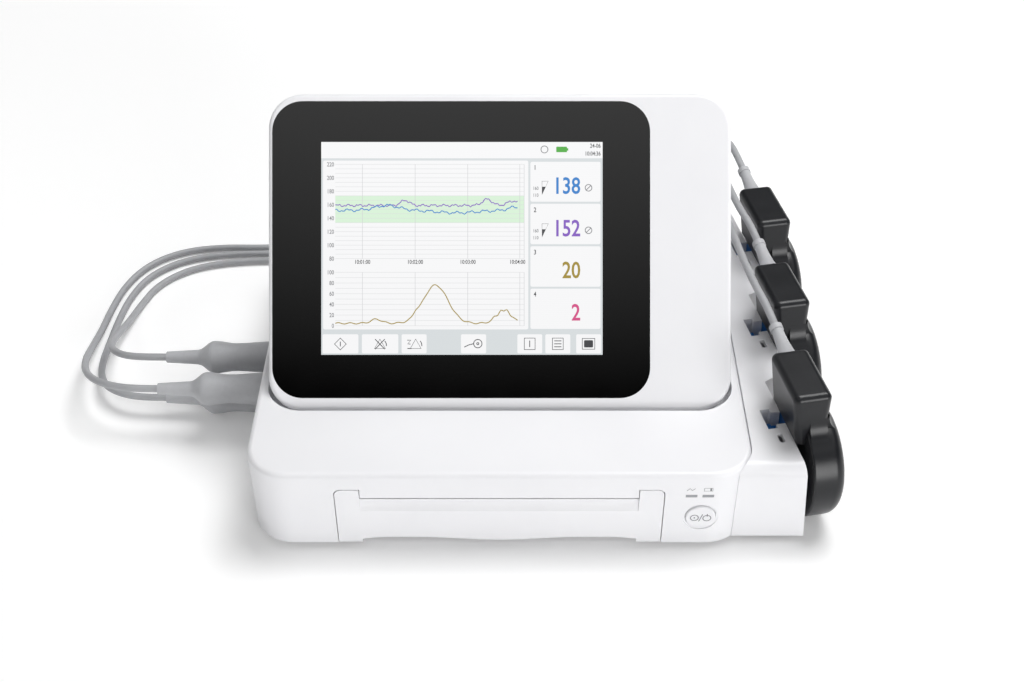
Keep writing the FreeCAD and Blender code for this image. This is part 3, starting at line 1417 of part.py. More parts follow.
def transducer_lead(station):
    coil = STATIONS - 1 - station
    axis = relief_axis()
    tip = V(0, BLOCK_REAR, RELIEF_Z) + axis * RELIEF_L
    place = station_place(station)
    first = [place.multVec(tip), place.multVec(tip + axis * LEAD_END)]
    end = coil_end(coil)
    last = end + coil_tangent(coil_angles()[-1]) * COIL_LEAD
    return route_tube(f"transducer lead {station}", first + list(TRANSDUCER_ROUTES[station]) + [last, end])


# Inside the base

def upright_parts(z, parts):
    """Boxes that stand at a height, from (x, y, width, depth, height) about their middles."""
    return [box(x - w / 2, x + w / 2, y - d / 2, y + d / 2, z, z + h) for x, y, w, d, h in parts]


def main_board():
    left, right, front, rear = main_board_span()
    board = box(left, right, front, rear, BOARD_Z, BOARD_Z + BOARD_T)
    top = BOARD_Z + BOARD_T
    middle = (left + right) / 2
    centre = (front + rear) / 2
    parts = upright_parts(top, [
        (middle, centre, CHIP_W, CHIP_W, CHIP_H), (middle, centre, COOLER_W, COOLER_W, COOLER_H),
        (middle + MEMORY_X, centre - MEMORY_Y, MEMORY_W, MEMORY_D, MEMORY_H),
        (middle + MEMORY_X, centre + MEMORY_Y, MEMORY_W, MEMORY_D, MEMORY_H),
        (middle - HEADER_X, front + HEADER_IN, HEADER_W, HEADER_D, HEADER_H),
        (middle + HEADER_X / 2, front + HEADER_IN, HEADER_W, HEADER_D, HEADER_H),
    ])
    first = middle - HEADER_X
    parts += [
        rod((first + i * CAPACITOR_PITCH, rear - CAPACITOR_IN, top), (0, 0, 1), CAPACITOR_R, CAPACITOR_H)
        for i in range(CAPACITOR_COUNT)
    ]
    return join([board] + parts)


def power_supply():
    left = -BASE_HALF + SUPPLY_SIDE
    rear = BASE_D - SUPPLY_REAR
    front = rear - SUPPLY_D
    right = left + SUPPLY_W
    board = box(left, right, front, rear, BOARD_Z, BOARD_Z + BOARD_T)
    top = BOARD_Z + BOARD_T
    feet = []
    for x in (left, right - SUPPLY_FOOT):
        for y in (front, rear - SUPPLY_FOOT):
            feet.append(box(x, x + SUPPLY_FOOT, y, y + SUPPLY_FOOT, COVER_BOTTOM, BOARD_Z))
    middle = (left + right) / 2
    centre = (front + rear) / 2
    parts = upright_parts(top, [
        (middle, centre, WINDING_W, WINDING_D, SUPPLY_H), (middle, centre, CORE_W, CORE_D, CORE_H),
        (left + SINK_IN, centre, SINK_T, SINK_L, SUPPLY_H),
        (right - SINK_IN, centre, SINK_T, SINK_L, SUPPLY_H),
    ])
    parts += [
        rod((middle + x, front + RESERVOIR_IN, top), (0, 0, 1), RESERVOIR_R, SUPPLY_H)
        for x in (-RESERVOIR_PITCH, 0, RESERVOIR_PITCH)
    ]
    return join([board] + feet + parts)


def battery_pack():
    middle = (RAIL_X + RAIL_W + BASE_HALF - WALL) / 2
    low = COVER_BOTTOM + CELL_R + WRAP_T
    first = middle - (CELL_COUNT - 1) * CELL_R
    cells = [rod((first + 2 * i * CELL_R, CELL_Y, low), (0, 1, 0), CELL_R, CELL_L) for i in range(CELL_COUNT)]
    half = (CELL_COUNT - 1) * CELL_R
    wrap = box(middle - half, middle + half, CELL_Y, CELL_Y + CELL_L, COVER_BOTTOM, low + CELL_R + WRAP_T)
    return join(cells + [wrap])


def speaker():
    x, y = speaker_place()
    z = COVER_BOTTOM
    frame = ring((x, y, z), (0, 0, 1), SPEAKER_R, SPEAKER_R - SPEAKER_RIM, SPEAKER_RIM_T)
    cone = Part.makeCone(
        SPEAKER_R - SPEAKER_RIM / 2, MAGNET_R - SPEAKER_RIM, SPEAKER_CONE_H, V(x, y, z + SPEAKER_RIM_T / 2),
    )
    magnet = rod((x, y, z + SPEAKER_CONE_H), (0, 0, 1), MAGNET_R, MAGNET_H)
    return join([frame, cone, magnet])


def mains_inlet():
    flange = inlet_box(INLET_FLANGE, BASE_D, BASE_D + INLET_FLANGE_T)
    body = inlet_box(-SEAT_GAP, BASE_D - INLET_DEEP, BASE_D + INLET_FLANGE_T)
    floor = BASE_D - INLET_DEEP + INLET_FLOOR
    mouth = inlet_box(-INLET_WALL, floor, BASE_D + INLET_FLANGE_T)
    top = INLET_Z + INLET_H / 2 - INLET_WALL
    mouth = mouth.makeChamfer(
        INLET_BEVEL, [e for e in edges_at(mouth, lambda p: p.z > top - 0.01) if abs(e.tangentAt(0).y) > 0.9],
    )
    pins = []
    for x, z in ((-INLET_PIN_X, -INLET_PIN_UP), (0, INLET_PIN_UP), (INLET_PIN_X, -INLET_PIN_UP)):
        middle = INLET_SIDE - BASE_HALF + x
        half = INLET_PIN / 2
        low = INLET_Z + z - half
        pins.append(box(middle - half, middle + half, floor, floor + INLET_PIN_L, low, low + INLET_PIN))
    return join([join([flange, body]).cut(mouth)] + pins)


def build():
    """The nodes by name, and the nodes of the free cables."""
    nodes = {
        "base_top_cover": base_top_cover(),
        "base_bottom_cover": base_bottom_cover(),
        "rubber_feet": rubber_feet(),
        "case_screws": case_screws(),
        "power_button": power_button(),
        "status_light_pipes": status_light_pipes(),
        "front_key_board": front_key_board(),
        "paper_drawer": paper_drawer(),
        "platen_bushes": platen_bushes(),
        "platen_roller": platen_roller(),
        "platen_shaft": platen_shaft(),
        "platen_gear": platen_gear(),
        "idler_gear": idler_gear(),
        "motor_pinion": motor_pinion(),
        "drive_motor": drive_motor(),
        "print_head": print_head(),
        "main_board": main_board(),
        "power_supply": power_supply(),
        "battery_pack": battery_pack(),
        "speaker": speaker(),
        "mains_inlet": mains_inlet(),
        "plug_sockets": plug_sockets(),
        "hinge_brackets": hinge_brackets(),
        "transducer_holder": transducer_holder(),
        "display_front_bezel": in_display(display_front_bezel()),
        "display_rear_cover": in_display(display_rear_cover()),
        "touch_glass": in_display(glass_slab(0, GLASS_T, 0)),
        "lcd_module": in_display(lcd_slab(0, GLASS_T + LCD_T, GLASS_T)),
        "hinge_shafts": [in_display(shaft) for shaft in hinge_shafts()],
        "display_screws": [in_display(one) for one in display_screws()],
    }
    pieces = {
        "outer_shell": transducer_outer_shell(),
        "inner_shell": transducer_inner_shell(),
        "belt_stud": transducer_belt_stud(),
        "sensor_elements": transducer_sensor_elements(),
        "strain_relief": transducer_strain_relief(),
    }
    cords = {}
    for station, name in enumerate(("front", "middle", "rear")):
        for piece, shape in pieces.items():
            nodes[f"{name}_transducer_{piece}"] = in_station(shape, station)
        cords[f"{name}_transducer_lead"] = transducer_lead(station)
        number = STATIONS - 1 - station
        cords[f"{name}_cable_coil"] = cable_coil(number)
        cords[f"{name}_plug_lead"] = plug_lead(station)
        cords[f"{name}_cable_plug"] = cable_plug(station)
    return nodes, cords


def solid_list(shape):
    shapes = shape if isinstance(shape, list) else [shape]
    return [solid for one in shapes for solid in one.Solids]


def main():
    os.makedirs("parts", exist_ok=True)
    print(f"coil gap {coil_gap():.2f} mm")
    nodes, cords = build()
    whole = FreeCAD.BoundBox()
    for shape in nodes.values():
        for solid in solid_list(shape):
            whole.add(solid.BoundBox)
    shift = V(-whole.Center.x, -whole.Center.y, 0)
    sides = f"{whole.XLength:.1f} {whole.YLength:.1f} {whole.ZLength:.1f}"
    print(f"origin shift {shift.x:.3f} {shift.y:.3f}, box {sides}")
    for node, shape in {**nodes, **cords}.items():
        solids = solid_list(shape)
        moved = Part.makeCompound(solids) if len(solids) > 1 else solids[0].copy()
        moved.translate(shift)
        moved.exportStep(f"parts/{node}.step")
        print(f"{node}: {len(solids)} solid, volume {moved.Volume:.0f}, valid {moved.isValid()}")


main()
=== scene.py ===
import math

import bpy
from mathutils import Matrix, Vector


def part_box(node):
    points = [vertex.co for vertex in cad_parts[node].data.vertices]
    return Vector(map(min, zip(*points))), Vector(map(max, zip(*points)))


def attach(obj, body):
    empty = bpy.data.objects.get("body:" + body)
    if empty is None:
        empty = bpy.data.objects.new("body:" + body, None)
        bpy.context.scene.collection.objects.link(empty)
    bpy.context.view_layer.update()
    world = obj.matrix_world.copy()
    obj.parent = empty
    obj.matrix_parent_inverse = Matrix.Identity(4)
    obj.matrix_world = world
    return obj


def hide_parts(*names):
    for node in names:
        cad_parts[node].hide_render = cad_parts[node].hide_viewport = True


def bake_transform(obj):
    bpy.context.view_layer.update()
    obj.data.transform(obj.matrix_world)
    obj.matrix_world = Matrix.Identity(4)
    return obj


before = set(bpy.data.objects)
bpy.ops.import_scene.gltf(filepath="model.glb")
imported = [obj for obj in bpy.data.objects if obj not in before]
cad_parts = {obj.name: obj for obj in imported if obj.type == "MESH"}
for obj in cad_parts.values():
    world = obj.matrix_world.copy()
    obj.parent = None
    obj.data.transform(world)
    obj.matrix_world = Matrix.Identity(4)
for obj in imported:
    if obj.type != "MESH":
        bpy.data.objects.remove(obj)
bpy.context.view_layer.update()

# Studio table, lights and camera
# A white table top runs out past the picture, with a soft box overhead and a second one low in front.
# The camera looks down on the monitor square to the screen, through a lens of about 50 mm.
base_low, base_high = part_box("base_top_cover")
front_middle = Vector(((base_low.x + base_high.x) / 2, base_low.y, 0.0))


def place(x, y, z):
    """A point in mm from the middle of the base's front edge, at table level."""
    return front_middle + Vector((x, y, z)) * 0.001


def linear(code):
    """An sRGB hex colour as the linear colour that the shaders take."""
    parts = [int(code[i:i + 2], 16) / 255 for i in (1, 3, 5)]
    return tuple(c / 12.92 if c <= 0.04045 else ((c + 0.055) / 1.055) ** 2.4 for c in parts) + (1.0,)


def add_node(tree, kind, settings={}, links={}):
    """Adds a node; a setting names a property, or an input by its name or number."""
    node = tree.nodes.new(kind)
    for name, value in settings.items():
        if isinstance(name, int) or name in node.inputs:
            node.inputs[name].default_value = value
        else:
            setattr(node, name, value)
    for name, source in links.items():
        tree.links.new(source, node.inputs[name])
    return node


def new_surface(name):
    """A new material, with its node tree and its shader."""
    material = bpy.data.materials.new(name)
    material.use_nodes = True
    return material, material.node_tree, material.node_tree.nodes["Principled BSDF"]


bpy.ops.object.select_all(action="DESELECT")
table_size = 9.0
table_drop = 0.0002
bpy.ops.mesh.primitive_plane_add(size=table_size, location=(0, 0, -table_drop))
table = bpy.context.object
table.name = "studio_table"
bpy.ops.object.transform_apply(location=True, rotation=True, scale=True)

# Matt white laminate. What it adds for the camera and for reflections lifts the open table to white,
# and the rest is lit, so the monitor's shadow stays on it.
table_lift = 0.14
laminate, tree, shader = new_surface("matt_white_laminate")
shader.inputs["Base Color"].default_value = linear("#FAFAFA")
shader.inputs["Roughness"].default_value = 0.9
shader.inputs["Specular IOR Level"].default_value = 0.1
seen = add_node(tree, "ShaderNodeLightPath")
straight = add_node(tree, "ShaderNodeMath", {"operation": "MAXIMUM"},
                    {0: seen.outputs["Is Camera Ray"], 1: seen.outputs["Is Glossy Ray"]})
straight = add_node(tree, "ShaderNodeMath", {"operation": "MAXIMUM"},
                    {0: straight.outputs[0], 1: seen.outputs["Is Transmission Ray"]})
lift = add_node(tree, "ShaderNodeMath", {"operation": "MULTIPLY", 1: table_lift}, {0: straight.outputs[0]})
shader.inputs["Emission Color"].default_value = (1.0, 1.0, 1.0, 1.0)
tree.links.new(lift.outputs[0], shader.inputs["Emission Strength"])
table.data.materials.append(laminate)

# The studio: white at the horizon, a dark wall above it and a bright band under the ceiling,
# which the glass front mirrors.
studio = bpy.data.worlds.new("studio")
studio.use_nodes = True
bpy.context.scene.world = studio
tree = studio.node_tree
way = add_node(tree, "ShaderNodeTexCoord")
height = add_node(tree, "ShaderNodeSeparateXYZ", {}, {0: way.outputs["Generated"]})
ramp = add_node(tree, "ShaderNodeValToRGB", {}, {0: height.outputs["Z"]})
ramp.color_ramp.elements[0].position = 0.10
ramp.color_ramp.elements[0].color = (1.0, 1.0, 1.0, 1.0)
ramp.color_ramp.elements[1].position = 0.24
ramp.color_ramp.elements[1].color = (0.01, 0.01, 0.01, 1.0)
for position, level in ((0.61, 0.01), (0.78, 1.10), (0.90, 0.10), (1.0, 0.05)):
    stop = ramp.color_ramp.elements.new(position)
    stop.color = (level, level, level, 1.0)
tree.links.new(ramp.outputs["Color"], tree.nodes["Background"].inputs["Color"])
tree.nodes["Background"].inputs["Strength"].default_value = 1.0

aim = place(0, 120, 30)
for name, spot, width, power in (
    ("overhead_soft_box", (700, 780, 2420), 1.3, 46.0),
    ("front_soft_box", (2210, -3552, 829), 2.04, 92.0),
):
    bpy.ops.object.light_add(type="AREA", location=place(*spot))
    lamp = bpy.context.object
    lamp.name = name
    lamp.data.size = width
    lamp.data.energy = power
    lamp.rotation_euler = (aim - place(*spot)).to_track_quat("-Z", "Y").to_euler()

screen_tilt = math.radians(50.0)
bpy.ops.object.camera_add(location=place(7.0, -548.7, 612.6), rotation=(screen_tilt, 0.0, 0.0))
camera = bpy.context.object
camera.name = "camera"
camera.data.sensor_width = 36.0
camera.data.lens = 50.27
camera.data.clip_start = 0.01
bpy.context.scene.camera = camera
bpy.context.scene.view_settings.view_transform = "Standard"

# Case covers
# The upper and lower cover, the display housing, the drawer, the button and the transducer holder are
# injection moulded in white ABS with a satin surface, and are screwed together from below and behind.


def grain(size):
    """The texture scale that gives features of this size in mm."""
    return 1000.0 / size


def dress(material, *names):
    """Gives these CAD nodes the material."""
    for name in names:
        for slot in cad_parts[name].material_slots:
            slot.material = material


# Moulded white ABS: a satin skin with a fine spark-eroded grain. Real grain is about 0.1 mm;
# it is drawn at 0.5 mm so that it shows. Gloss varies softly with the flow of the melt.
white_abs, tree, shader = new_surface("moulded_white_abs")
where = add_node(tree, "ShaderNodeTexCoord")
flow = add_node(tree, "ShaderNodeTexNoise", {"Scale": grain(45.0), "Detail": 3.0},
                {"Vector": where.outputs["Object"]})
tint = add_node(tree, "ShaderNodeMix",
                {"data_type": "RGBA", 6: linear("#EDEDF0"), 7: linear("#F2F2F4")}, {0: flow.outputs["Fac"]})
gloss = add_node(tree, "ShaderNodeMapRange", {"To Min": 0.34, "To Max": 0.46},
                 {"Value": flow.outputs["Fac"]})
skin = add_node(tree, "ShaderNodeTexNoise", {"Scale": grain(0.5), "Detail": 2.0},
                {"Vector": where.outputs["Object"]})
bump = add_node(tree, "ShaderNodeBump", {"Strength": 0.10, "Distance": 0.00004},
                {"Height": skin.outputs["Fac"]})
tree.links.new(tint.outputs[2], shader.inputs["Base Color"])
tree.links.new(gloss.outputs[0], shader.inputs["Roughness"])
tree.links.new(bump.outputs[0], shader.inputs["Normal"])
shader.inputs["IOR"].default_value = 1.53
dress(white_abs, "base_top_cover", "base_bottom_cover", "paper_drawer", "power_button",
      "display_front_bezel", "display_rear_cover", "transducer_holder")

# Feet
# Four moulded pads of black rubber, pressed into the lower cover. They carry the monitor on the table.
# Moulded rubber: matt, a little dusty, with a fine pebbled skin.
rubber, tree, shader = new_surface("black_moulded_rubber")
where = add_node(tree, "ShaderNodeTexCoord")
dust = add_node(tree, "ShaderNodeTexNoise", {"Scale": grain(6.0), "Detail": 4.0},
                {"Vector": where.outputs["Object"]})
tint = add_node(tree, "ShaderNodeMix",
                {"data_type": "RGBA", 6: linear("#17171A"), 7: linear("#26262A")}, {0: dust.outputs["Fac"]})
pebble = add_node(tree, "ShaderNodeTexVoronoi", {"Scale": grain(0.7)}, {"Vector": where.outputs["Object"]})
bump = add_node(tree, "ShaderNodeBump", {"Strength": 0.3, "Distance": 0.00008},
                {"Height": pebble.outputs["Distance"]})
tree.links.new(tint.outputs[2], shader.inputs["Base Color"])
tree.links.new(bump.outputs[0], shader.inputs["Normal"])
shader.inputs["Roughness"].default_value = 0.78
dress(rubber, "rubber_feet", "platen_roller")

# Screws, shafts and brackets
# Zinc plated steel, cut, turned and pressed: the screws, the platen's shaft and the display's hinge.
# Zinc plate: a soft metal shine with faint blue, brushed along fine tool lines about 0.4 mm apart.
zinc_steel, tree, shader = new_surface("zinc_plated_steel")
where = add_node(tree, "ShaderNodeTexCoord")
stretch = add_node(tree, "ShaderNodeMapping", {"Scale": (grain(25.0), grain(0.4), grain(0.4))},
                   {"Vector": where.outputs["Object"]})
lines = add_node(tree, "ShaderNodeTexNoise", {"Scale": 1.0, "Detail": 3.0}, {"Vector": stretch.outputs[0]})
tint = add_node(tree, "ShaderNodeMix",
                {"data_type": "RGBA", 6: linear("#B4B8BD"), 7: linear("#D2D4D6")},
                {0: lines.outputs["Fac"]})
gloss = add_node(tree, "ShaderNodeMapRange", {"To Min": 0.24, "To Max": 0.40},
                 {"Value": lines.outputs["Fac"]})
bump = add_node(tree, "ShaderNodeBump", {"Strength": 0.15, "Distance": 0.00003},
                {"Height": lines.outputs["Fac"]})
tree.links.new(tint.outputs[2], shader.inputs["Base Color"])
tree.links.new(gloss.outputs[0], shader.inputs["Roughness"])
tree.links.new(bump.outputs[0], shader.inputs["Normal"])
shader.inputs["Metallic"].default_value = 1.0
dress(zinc_steel, "case_screws", "platen_shaft", "hinge_shafts", "hinge_brackets", "display_screws")

# Boards inside the base
# The main board, the power supply and the key board are glass fibre laminate with a green solder mask.
# Solder mask: glossy green over copper tracks about 1.5 mm apart, which show as paler lines.
solder_mask, tree, shader = new_surface("green_solder_mask")
where = add_node(tree, "ShaderNodeTexCoord")
tracks = add_node(tree, "ShaderNodeTexBrick", {
    "Scale": grain(10.0), "Mortar Size": 0.04, "Brick Width": 1.7, "Row Height": 0.3,
    "Color1": linear("#0E4A2A"), "Color2": linear("#0C4226"), "Mortar": linear("#2C7A4B"),
}, {"Vector": where.outputs["Object"]})
bump = add_node(tree, "ShaderNodeBump", {"Strength": 0.3, "Distance": 0.00005},
                {"Height": tracks.outputs["Fac"]})
tree.links.new(tracks.outputs["Color"], shader.inputs["Base Color"])
tree.links.new(bump.outputs[0], shader.inputs["Normal"])
shader.inputs["Roughness"].default_value = 0.32
dress(solder_mask, "main_board", "power_supply", "front_key_board")

# Battery and motor
# The battery is a pack of cells in a heat-shrunk film, and the stepper motor has a pressed steel can.
# Shrink film: thin blue PVC pulled tight, with a slight ripple about 8 mm long.
shrink_film, tree, shader = new_surface("blue_shrink_film")
where = add_node(tree, "ShaderNodeTexCoord")
ripple = add_node(tree, "ShaderNodeTexNoise", {"Scale": grain(8.0), "Detail": 2.0},
                  {"Vector": where.outputs["Object"]})
tint = add_node(tree, "ShaderNodeMix",
                {"data_type": "RGBA", 6: linear("#1D4F8C"), 7: linear("#2A63A6")},
                {0: ripple.outputs["Fac"]})
bump = add_node(tree, "ShaderNodeBump", {"Strength": 0.4, "Distance": 0.0004},
                {"Height": ripple.outputs["Fac"]})
tree.links.new(tint.outputs[2], shader.inputs["Base Color"])
tree.links.new(bump.outputs[0], shader.inputs["Normal"])
shader.inputs["Roughness"].default_value = 0.25
dress(shrink_film, "battery_pack")

# Black-oxide steel: a dark can with a dull metal shine, a little uneven.
black_oxide, tree, shader = new_surface("black_oxide_steel")
where = add_node(tree, "ShaderNodeTexCoord")
bloom = add_node(tree, "ShaderNodeTexNoise", {"Scale": grain(5.0), "Detail": 4.0},
                 {"Vector": where.outputs["Object"]})
tint = add_node(tree, "ShaderNodeMix",
                {"data_type": "RGBA", 6: linear("#4A4B4E"), 7: linear("#5E6064")},
                {0: bloom.outputs["Fac"]})
gloss = add_node(tree, "ShaderNodeMapRange", {"To Min": 0.36, "To Max": 0.52},
                 {"Value": bloom.outputs["Fac"]})
tree.links.new(tint.outputs[2], shader.inputs["Base Color"])
tree.links.new(gloss.outputs[0], shader.inputs["Roughness"])
shader.inputs["Metallic"].default_value = 1.0
dress(black_oxide, "drive_motor")

# Print head and screen module
# Both are drawn aluminium: the print head's heat sink bar and the screen's back frame.
# Anodised aluminium: pale and satin, with drawing lines about 0.6 mm apart along X.
aluminium, tree, shader = new_surface("anodised_aluminium")
where = add_node(tree, "ShaderNodeTexCoord")
stretch = add_node(tree, "ShaderNodeMapping", {"Scale": (grain(40.0), grain(0.6), grain(0.6))},
                   {"Vector": where.outputs["Object"]})
lines = add_node(tree, "ShaderNodeTexNoise", {"Scale": 1.0, "Detail": 2.0}, {"Vector": stretch.outputs[0]})
tint = add_node(tree, "ShaderNodeMix",
                {"data_type": "RGBA", 6: linear("#A9ABAE"), 7: linear("#C3C5C7")},
                {0: lines.outputs["Fac"]})
bump = add_node(tree, "ShaderNodeBump", {"Strength": 0.2, "Distance": 0.00004},
                {"Height": lines.outputs["Fac"]})
tree.links.new(tint.outputs[2], shader.inputs["Base Color"])
tree.links.new(bump.outputs[0], shader.inputs["Normal"])
shader.inputs["Metallic"].default_value = 1.0
shader.inputs["Roughness"].default_value = 0.42
dress(aluminium, "print_head", "lcd_module")

# Gears and bushes
# The printer's gears and the platen's bushes are moulded in natural acetal, and run dry.
# Acetal: milky and waxy, light passes a little way in.
acetal, tree, shader = new_surface("natural_acetal")
where = add_node(tree, "ShaderNodeTexCoord")
cloud = add_node(tree, "ShaderNodeTexNoise", {"Scale": grain(7.0), "Detail": 2.0},
                 {"Vector": where.outputs["Object"]})
tint = add_node(tree, "ShaderNodeMix",
                {"data_type": "RGBA", 6: linear("#DCD9CF"), 7: linear("#E9E7DF")},
                {0: cloud.outputs["Fac"]})
gloss = add_node(tree, "ShaderNodeMapRange", {"To Min": 0.30, "To Max": 0.42},
                 {"Value": cloud.outputs["Fac"]})
tree.links.new(tint.outputs[2], shader.inputs["Base Color"])
tree.links.new(gloss.outputs[0], shader.inputs["Roughness"])
dress(acetal, "platen_gear", "idler_gear", "motor_pinion", "platen_bushes")

# Status lights
# Two bars of smoky grey acrylic, pressed into the front face from inside, carry light from the key board.
# Tinted acrylic: glossy and slightly clear, unlit.
acrylic, tree, shader = new_surface("smoky_acrylic")
where = add_node(tree, "ShaderNodeTexCoord")
haze = add_node(tree, "ShaderNodeTexNoise", {"Scale": grain(2.0), "Detail": 2.0},
                {"Vector": where.outputs["Object"]})
tint = add_node(tree, "ShaderNodeMix",
                {"data_type": "RGBA", 6: linear("#8E9094"), 7: linear("#A2A4A8")}, {0: haze.outputs["Fac"]})
tree.links.new(tint.outputs[2], shader.inputs["Base Color"])
shader.inputs["Roughness"].default_value = 0.22
shader.inputs["IOR"].default_value = 1.49
dress(acrylic, "status_light_pipes")

# Touch glass
# A sheet of hardened glass, printed black on its back and bonded flush into the display's front housing.
# Coated glass: deep black with a clear, faintly smeared shine.
black_glass, tree, shader = new_surface("back_printed_glass")
where = add_node(tree, "ShaderNodeTexCoord")
smear = add_node(tree, "ShaderNodeTexNoise", {"Scale": grain(22.0), "Detail": 5.0},
                 {"Vector": where.outputs["Object"]})
gloss = add_node(tree, "ShaderNodeMapRange", {"To Min": 0.05, "To Max": 0.10},
                 {"Value": smear.outputs["Fac"]})
tint = add_node(tree, "ShaderNodeMix",
                {"data_type": "RGBA", 6: linear("#020202"), 7: linear("#040404")},
                {0: smear.outputs["Fac"]})
tree.links.new(tint.outputs[2], shader.inputs["Base Color"])
tree.links.new(gloss.outputs[0], shader.inputs["Roughness"])
shader.inputs["IOR"].default_value = 1.52
dress(black_glass, "touch_glass")

# Screen picture
# The lit face of the liquid crystal module, seen through the glass: a white page with two graphs,
# four readings and a row of keys. It is built as thin sheets of lit ink that lie on the glass.
# Sizes are in mm from the picture's lower left corner.
screen_w = 162.1
screen_h = 122.6
sheet_step = 0.03
graph_left = 8.1
graph_right = 116.9
upper_low = 55.4
upper_high = 109.7
lower_low = 16.7
lower_high = 47.5
rule_half = 0.11
line_half = 0.14
trace_w = 0.6
sign_w = 0.5
figure_share = 0.72
figure_weight = 0.022
figure_narrow = 0.8
inked = {}


def lay(ink, obj):
    """Adds a sheet to the ink that it is printed in, and gives it back."""
    inked.setdefault(ink, []).append(obj)
    return obj


def card(ink, x0, y0, x1, y1, level, corner=0.0):
    """A flat sheet between two corners, in mm, with its own corners rounded."""
    bpy.ops.object.select_all(action="DESELECT")
    bpy.ops.mesh.primitive_plane_add(size=1.0, location=((x0 + x1) / 2, (y0 + y1) / 2, level * sheet_step))
    obj = bpy.context.object
    obj.scale = (x1 - x0, y1 - y0, 1.0)
    bpy.ops.object.transform_apply(location=True, rotation=True, scale=True)
    if corner:
        bpy.ops.object.mode_set(mode="EDIT")
        bpy.ops.mesh.select_all(action="SELECT")
        bpy.ops.mesh.bevel(offset=corner, segments=4, affect="VERTICES")
        bpy.ops.object.mode_set(mode="OBJECT")
    return lay(ink, obj)


def stroke(ink, points, width, level, closed=False):
    """A drawn line through the points, pressed flat."""
    curve = bpy.data.curves.new("stroke", "CURVE")
    curve.dimensions = "3D"
    spline = curve.splines.new("POLY")
    spline.points.add(len(points) - 1)
    for knot, (x, y) in zip(spline.points, points):
        knot.co = (x, y, 0.0, 1.0)
    spline.use_cyclic_u = closed
    curve.bevel_depth = width / 2
    curve.bevel_resolution = 0
    obj = bpy.data.objects.new("stroke", curve)
    bpy.context.collection.objects.link(obj)
    bpy.ops.object.select_all(action="DESELECT")
    obj.select_set(True)
    bpy.context.view_layer.objects.active = obj
    bpy.ops.object.convert(target="MESH")
    obj.scale = (1.0, 1.0, sheet_step / width)
    obj.location = (0.0, 0.0, level * sheet_step)
    bpy.ops.object.transform_apply(location=True, rotation=True, scale=True)
    return lay(ink, obj)


def loop(ink, x, y, radius, width, level, sides=28):
    """A drawn circle, or with few sides a diamond or a triangle."""
    turn = 2 * math.pi / sides
    points = [(x + radius * math.sin(i * turn), y + radius * math.cos(i * turn)) for i in range(sides)]
    return stroke(ink, points, width, level, closed=True)


def wedge(ink, points, level):
    """A filled triangle."""
    bpy.ops.object.select_all(action="DESELECT")
    bpy.ops.mesh.primitive_circle_add(vertices=3, radius=1.0, fill_type="NGON", location=(0, 0, 0))
    obj = bpy.context.object
    for corner, (x, y) in zip(obj.data.vertices, points):
        corner.co = (x, y, level * sheet_step)
    return lay(ink, obj)


def figures(ink, body, x, y, height, level, align="LEFT"):
    """Narrow bold figures of this height, with their foot on the line."""
    bpy.ops.object.select_all(action="DESELECT")
    bpy.ops.object.text_add(location=(x, y, level * sheet_step))
    obj = bpy.context.object
    obj.data.body = body
    obj.data.size = height / figure_share
    obj.data.align_x = align
    obj.data.resolution_u = 3
    obj.data.offset = height * figure_weight
    obj.scale = (figure_narrow, 1.0, 1.0)
    bpy.ops.object.convert(target="MESH")
    bpy.ops.object.transform_apply(location=True, rotation=True, scale=True)
    return lay(ink, obj)


def gather(ink, name, spot):
    """Joins all sheets of an ink to one piece, in its place."""
    bpy.ops.object.select_all(action="DESELECT")
    for obj in inked[ink]:
        obj.select_set(True)
    bpy.context.view_layer.objects.active = inked[ink][0]
    bpy.ops.object.join()
    piece = bpy.context.object
    piece.name = name
    piece.data.name = name
    piece.matrix_world = spot
    bpy.ops.object.transform_apply(location=True, rotation=True, scale=True)
    piece.data.materials.clear()
    return piece


card("bar_grey", 0.0, 0.0, screen_w, screen_h, 0)
card("page_white", 0.0, 113.2, screen_w, screen_h, 1)
card("page_white", 1.1, 14.6, 119.3, 111.9, 1, 1.0)
for low, high in ((88.2, 111.2), (63.7, 87.0), (39.2, 62.5), (14.9, 38.1)):
    card("page_white", 120.5, low, 160.9, high, 1, 1.0)
for left, right in (
    (0.8, 21.4), (23.4, 44.4), (46.3, 60.7), (80.5, 95.0), (113.0, 127.3), (129.1, 143.5), (146.9, 161.2),
):
    card("page_white", left, 0.8, right, 11.8, 1, 0.8)

# The upper graph's pale green band and its ruled lines, with a stronger line at each minute.
card("band_green", graph_left, 76.0, graph_right, 91.7, 2)
for low, high, spaces in ((upper_low, upper_high, 21), (lower_low, lower_high, 10)):
    for i in range(spaces + 1):
        y = low + i * (high - low) / spaces
        card("rule_grey", graph_left, y - rule_half, graph_right, y + rule_half, 3)
for x in (23.7, 54.1, 84.4, 114.4, 116.9):
    card("line_grey", x - line_half, upper_low, x + line_half, upper_high, 4)
    card("line_grey", x - line_half, lower_low, x + line_half, lower_high, 4)
scale_right = 7.4
scale_h = 2.5
for i in range(8):
    figures("figure_grey", str(220 - 20 * i), scale_right, 108.5 - i * 7.76, scale_h, 5, "RIGHT")
for i in range(6):
    figures("figure_grey", str(100 - 20 * i), scale_right, 46.3 - i * 6.16, scale_h, 5, "RIGHT")
for i, x in enumerate((23.7, 54.1, 84.4, 113.0)):
    figures("figure_dark", f"10:0{i + 1}:00", x, 52.4, 2.4, 5, "CENTER")

# The traces: two that wander along the band and one that swells and falls.
trace_steps = 120
trace_l = 105.0


def bump_at(i, middle, width):
    """A smooth rise and fall of 1 round the middle."""
    return math.exp(-((i - middle) / width) ** 2)


